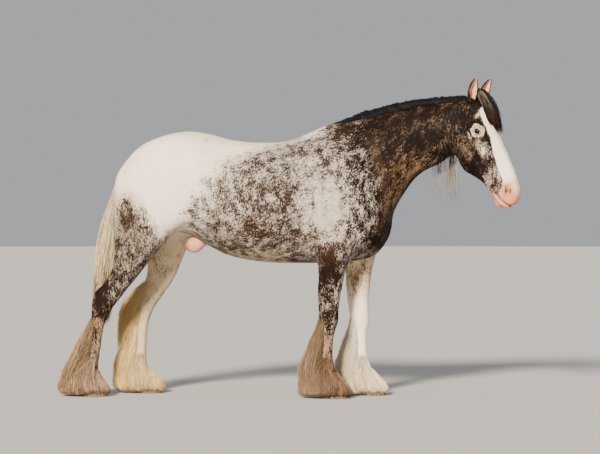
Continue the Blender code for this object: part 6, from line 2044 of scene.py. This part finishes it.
def make_stage(stage):
    """A round pale floor, a pale world, a soft warm key light from above the camera's left and
    the camera at the photograph's viewing angle."""
    turn = full_turn(FLOOR_SIDES)
    rings = np.array((stage.floor_radius, 12.0, 4.0))[:, None]
    circle = xyz(rings * np.cos(turn), rings * np.sin(turn), FLOOR_LEVEL)
    grid = np.arange(circle.size // 3).reshape(3, FLOOR_SIDES)
    after = np.roll(grid, -1, axis=1)
    quads = np.stack([grid[:-1], after[:-1], after[1:], grid[1:]], axis=-1).reshape(-1, 4)
    middle = np.stack([grid[-1], after[-1], np.full(FLOOR_SIDES, grid.size)], axis=-1)
    points = np.concatenate([circle.reshape(-1, 3), [(0.0, 0.0, FLOOR_LEVEL)]])
    mesh = put_mesh("pale_floor", points, quads, middle)
    floor = add_object("pale_floor", mesh)
    material, tree, shader = new_material("pale floor", 0.9, 0.1)
    place = add_node(tree, "ShaderNodeTexCoord").outputs["Object"]
    cloud = add_node(tree, "ShaderNodeTexNoise", {"Vector": place, "Scale": 0.6, "Detail": 2.0})
    paint(tree, shader, tuple(stage.floor_colour), cloud, 0.98, 1.02)
    mesh.materials.append(material)

    world = bpy.data.worlds.new("pale studio")
    world.use_nodes = True
    sky = world.node_tree.nodes["Background"]
    sky.inputs["Color"].default_value = (0.96, 0.97, 1.0, 1.0)
    sky.inputs["Strength"].default_value = stage.world_power
    bpy.context.scene.world = world

    sun = bpy.data.lights.new("soft key", "SUN")
    sun.energy = stage.key_power
    sun.angle = math.radians(9.0)
    sun.color = (1.0, 0.88, 0.73)
    key = add_object("soft key", sun)
    key.location = stage.key_place
    key.rotation_euler = (Vector(BARREL_MIDDLE) - key.location).to_track_quat("-Z", "Y").to_euler()

    lens = bpy.data.cameras.new("camera")
    lens.sensor_width = 36.0
    lens.lens = stage.camera_lens
    lens.shift_y = stage.camera_shift
    lens.clip_end = 200.0
    camera = add_object("camera", lens)
    camera.location = stage.camera_place
    camera.rotation_euler = (math.radians(90.0), 0.0, stage.camera_turn)
    bpy.context.scene.camera = camera


class HORSE_OT_stage(bpy.types.Operator):
    """Make the floor, the light and the camera."""

    bl_idname = "horse.stage"
    bl_label = "Stage"

    def execute(self, context):
        make_stage(context.scene.horse_stage)
        return {"FINISHED"}


class HORSE_OT_skin(bpy.types.Operator):
    """Make the skin of the whole body, with its markings."""

    bl_idname = "horse.skin"
    bl_label = "Skin"

    def execute(self, context):
        make_skin(context.scene.horse_coat)
        return {"FINISHED"}


class HORSE_OT_eyes(bpy.types.Operator):
    """Make both eyes, their lids and lashes."""

    bl_idname = "horse.eyes"
    bl_label = "Eyes"

    def execute(self, context):
        scene = context.scene
        for side_name in SIDES:
            make_eye(side_name, scene.horse_face)
            make_lids(side_name, scene.horse_coat, scene.horse_hair)
        return {"FINISHED"}


class HORSE_OT_ears(bpy.types.Operator):
    """Make both ears and the hair in them."""

    bl_idname = "horse.ears"
    bl_label = "Ears"

    def execute(self, context):
        for side_name in SIDES:
            make_ear(side_name, context.scene.horse_coat, context.scene.horse_hair)
        return {"FINISHED"}


class HORSE_OT_whiskers(bpy.types.Operator):
    """Make the whiskers."""

    bl_idname = "horse.whiskers"
    bl_label = "Whiskers"

    def execute(self, context):
        make_whiskers(context.scene.horse_face)
        return {"FINISHED"}


class HORSE_OT_hooves(bpy.types.Operator):
    """Make the four hooves."""

    bl_idname = "horse.hooves"
    bl_label = "Hooves"

    def execute(self, context):
        for side_name in SIDES:
            for leg in LEG_ROWS:
                make_hoof(leg, side_name)
        return {"FINISHED"}


class HORSE_OT_sheath(bpy.types.Operator):
    """Make the sheath."""

    bl_idname = "horse.sheath"
    bl_label = "Sheath"

    def execute(self, context):
        make_sheath(context.scene.horse_coat)
        return {"FINISHED"}


class HORSE_OT_mane(bpy.types.Operator):
    """Make the mane and the forelock."""

    bl_idname = "horse.mane"
    bl_label = "Mane and forelock"

    def execute(self, context):
        make_mane(context.scene.horse_hair)
        make_wisps(context.scene.horse_hair)
        make_forelock(context.scene.horse_hair)
        return {"FINISHED"}


class HORSE_OT_tail(bpy.types.Operator):
    """Make the tail."""

    bl_idname = "horse.tail"
    bl_label = "Tail"

    def execute(self, context):
        make_tail(context.scene.horse_hair)
        return {"FINISHED"}


class HORSE_OT_feathers(bpy.types.Operator):
    """Make the feather of each leg."""

    bl_idname = "horse.feathers"
    bl_label = "Feathers"

    def execute(self, context):
        for leg, side in LEG_PARTS:
            make_feather(leg, side, context.scene.horse_hair)
        return {"FINISHED"}


class HORSE_OT_tufts(bpy.types.Operator):
    """Make the tufts of the short coat."""

    bl_idname = "horse.tufts"
    bl_label = "Coat tufts"

    def execute(self, context):
        hair = context.scene.horse_hair
        make_tufts("coat_tufts_trunk", 41, hair, [TRUNK_PART])
        make_tufts("coat_tufts_neck", 42, hair, [NECK_PART, HEAD_PART])
        make_tufts("coat_tufts_legs", 43, hair, list(LEG_PARTS.values()))
        return {"FINISHED"}


OPERATORS = (
    HORSE_OT_stage, HORSE_OT_skin, HORSE_OT_eyes, HORSE_OT_ears, HORSE_OT_whiskers, HORSE_OT_hooves,
    HORSE_OT_sheath, HORSE_OT_mane, HORSE_OT_tail, HORSE_OT_feathers, HORSE_OT_tufts,
)


class HORSE_PT_build(bpy.types.Panel):
    """Lists the makers and their settings."""

    bl_idname = "HORSE_PT_build"
    bl_label = "Appaloosa cob"
    bl_space_type = "VIEW_3D"
    bl_region_type = "UI"
    bl_category = "Horse"

    def draw(self, context):
        for name in SETTINGS:
            box = self.layout.box()
            settings = getattr(context.scene, name)
            for key in settings.bl_rna.properties.keys():
                if key not in ("rna_type", "name"):
                    box.prop(settings, key)
        for operator in OPERATORS:
            self.layout.operator(operator.bl_idname)


SETTINGS = {
    "horse_coat": CoatSettings,
    "horse_hair": HairSettings,
    "horse_face": FaceSettings,
    "horse_stage": StageSettings,
}
CLASSES = (*SETTINGS.values(), *OPERATORS, HORSE_PT_build)


def register():
    for cls in CLASSES:
        bpy.utils.register_class(cls)
    for name, cls in SETTINGS.items():
        setattr(bpy.types.Scene, name, PointerProperty(type=cls))


def unregister():
    for name in SETTINGS:
        delattr(bpy.types.Scene, name)
    for cls in reversed(CLASSES):
        bpy.utils.unregister_class(cls)


def main():
    register()
    for operator in OPERATORS:
        group, name = operator.bl_idname.split(".")
        getattr(getattr(bpy.ops, group), name)()


if __name__ == "__main__":
    main()
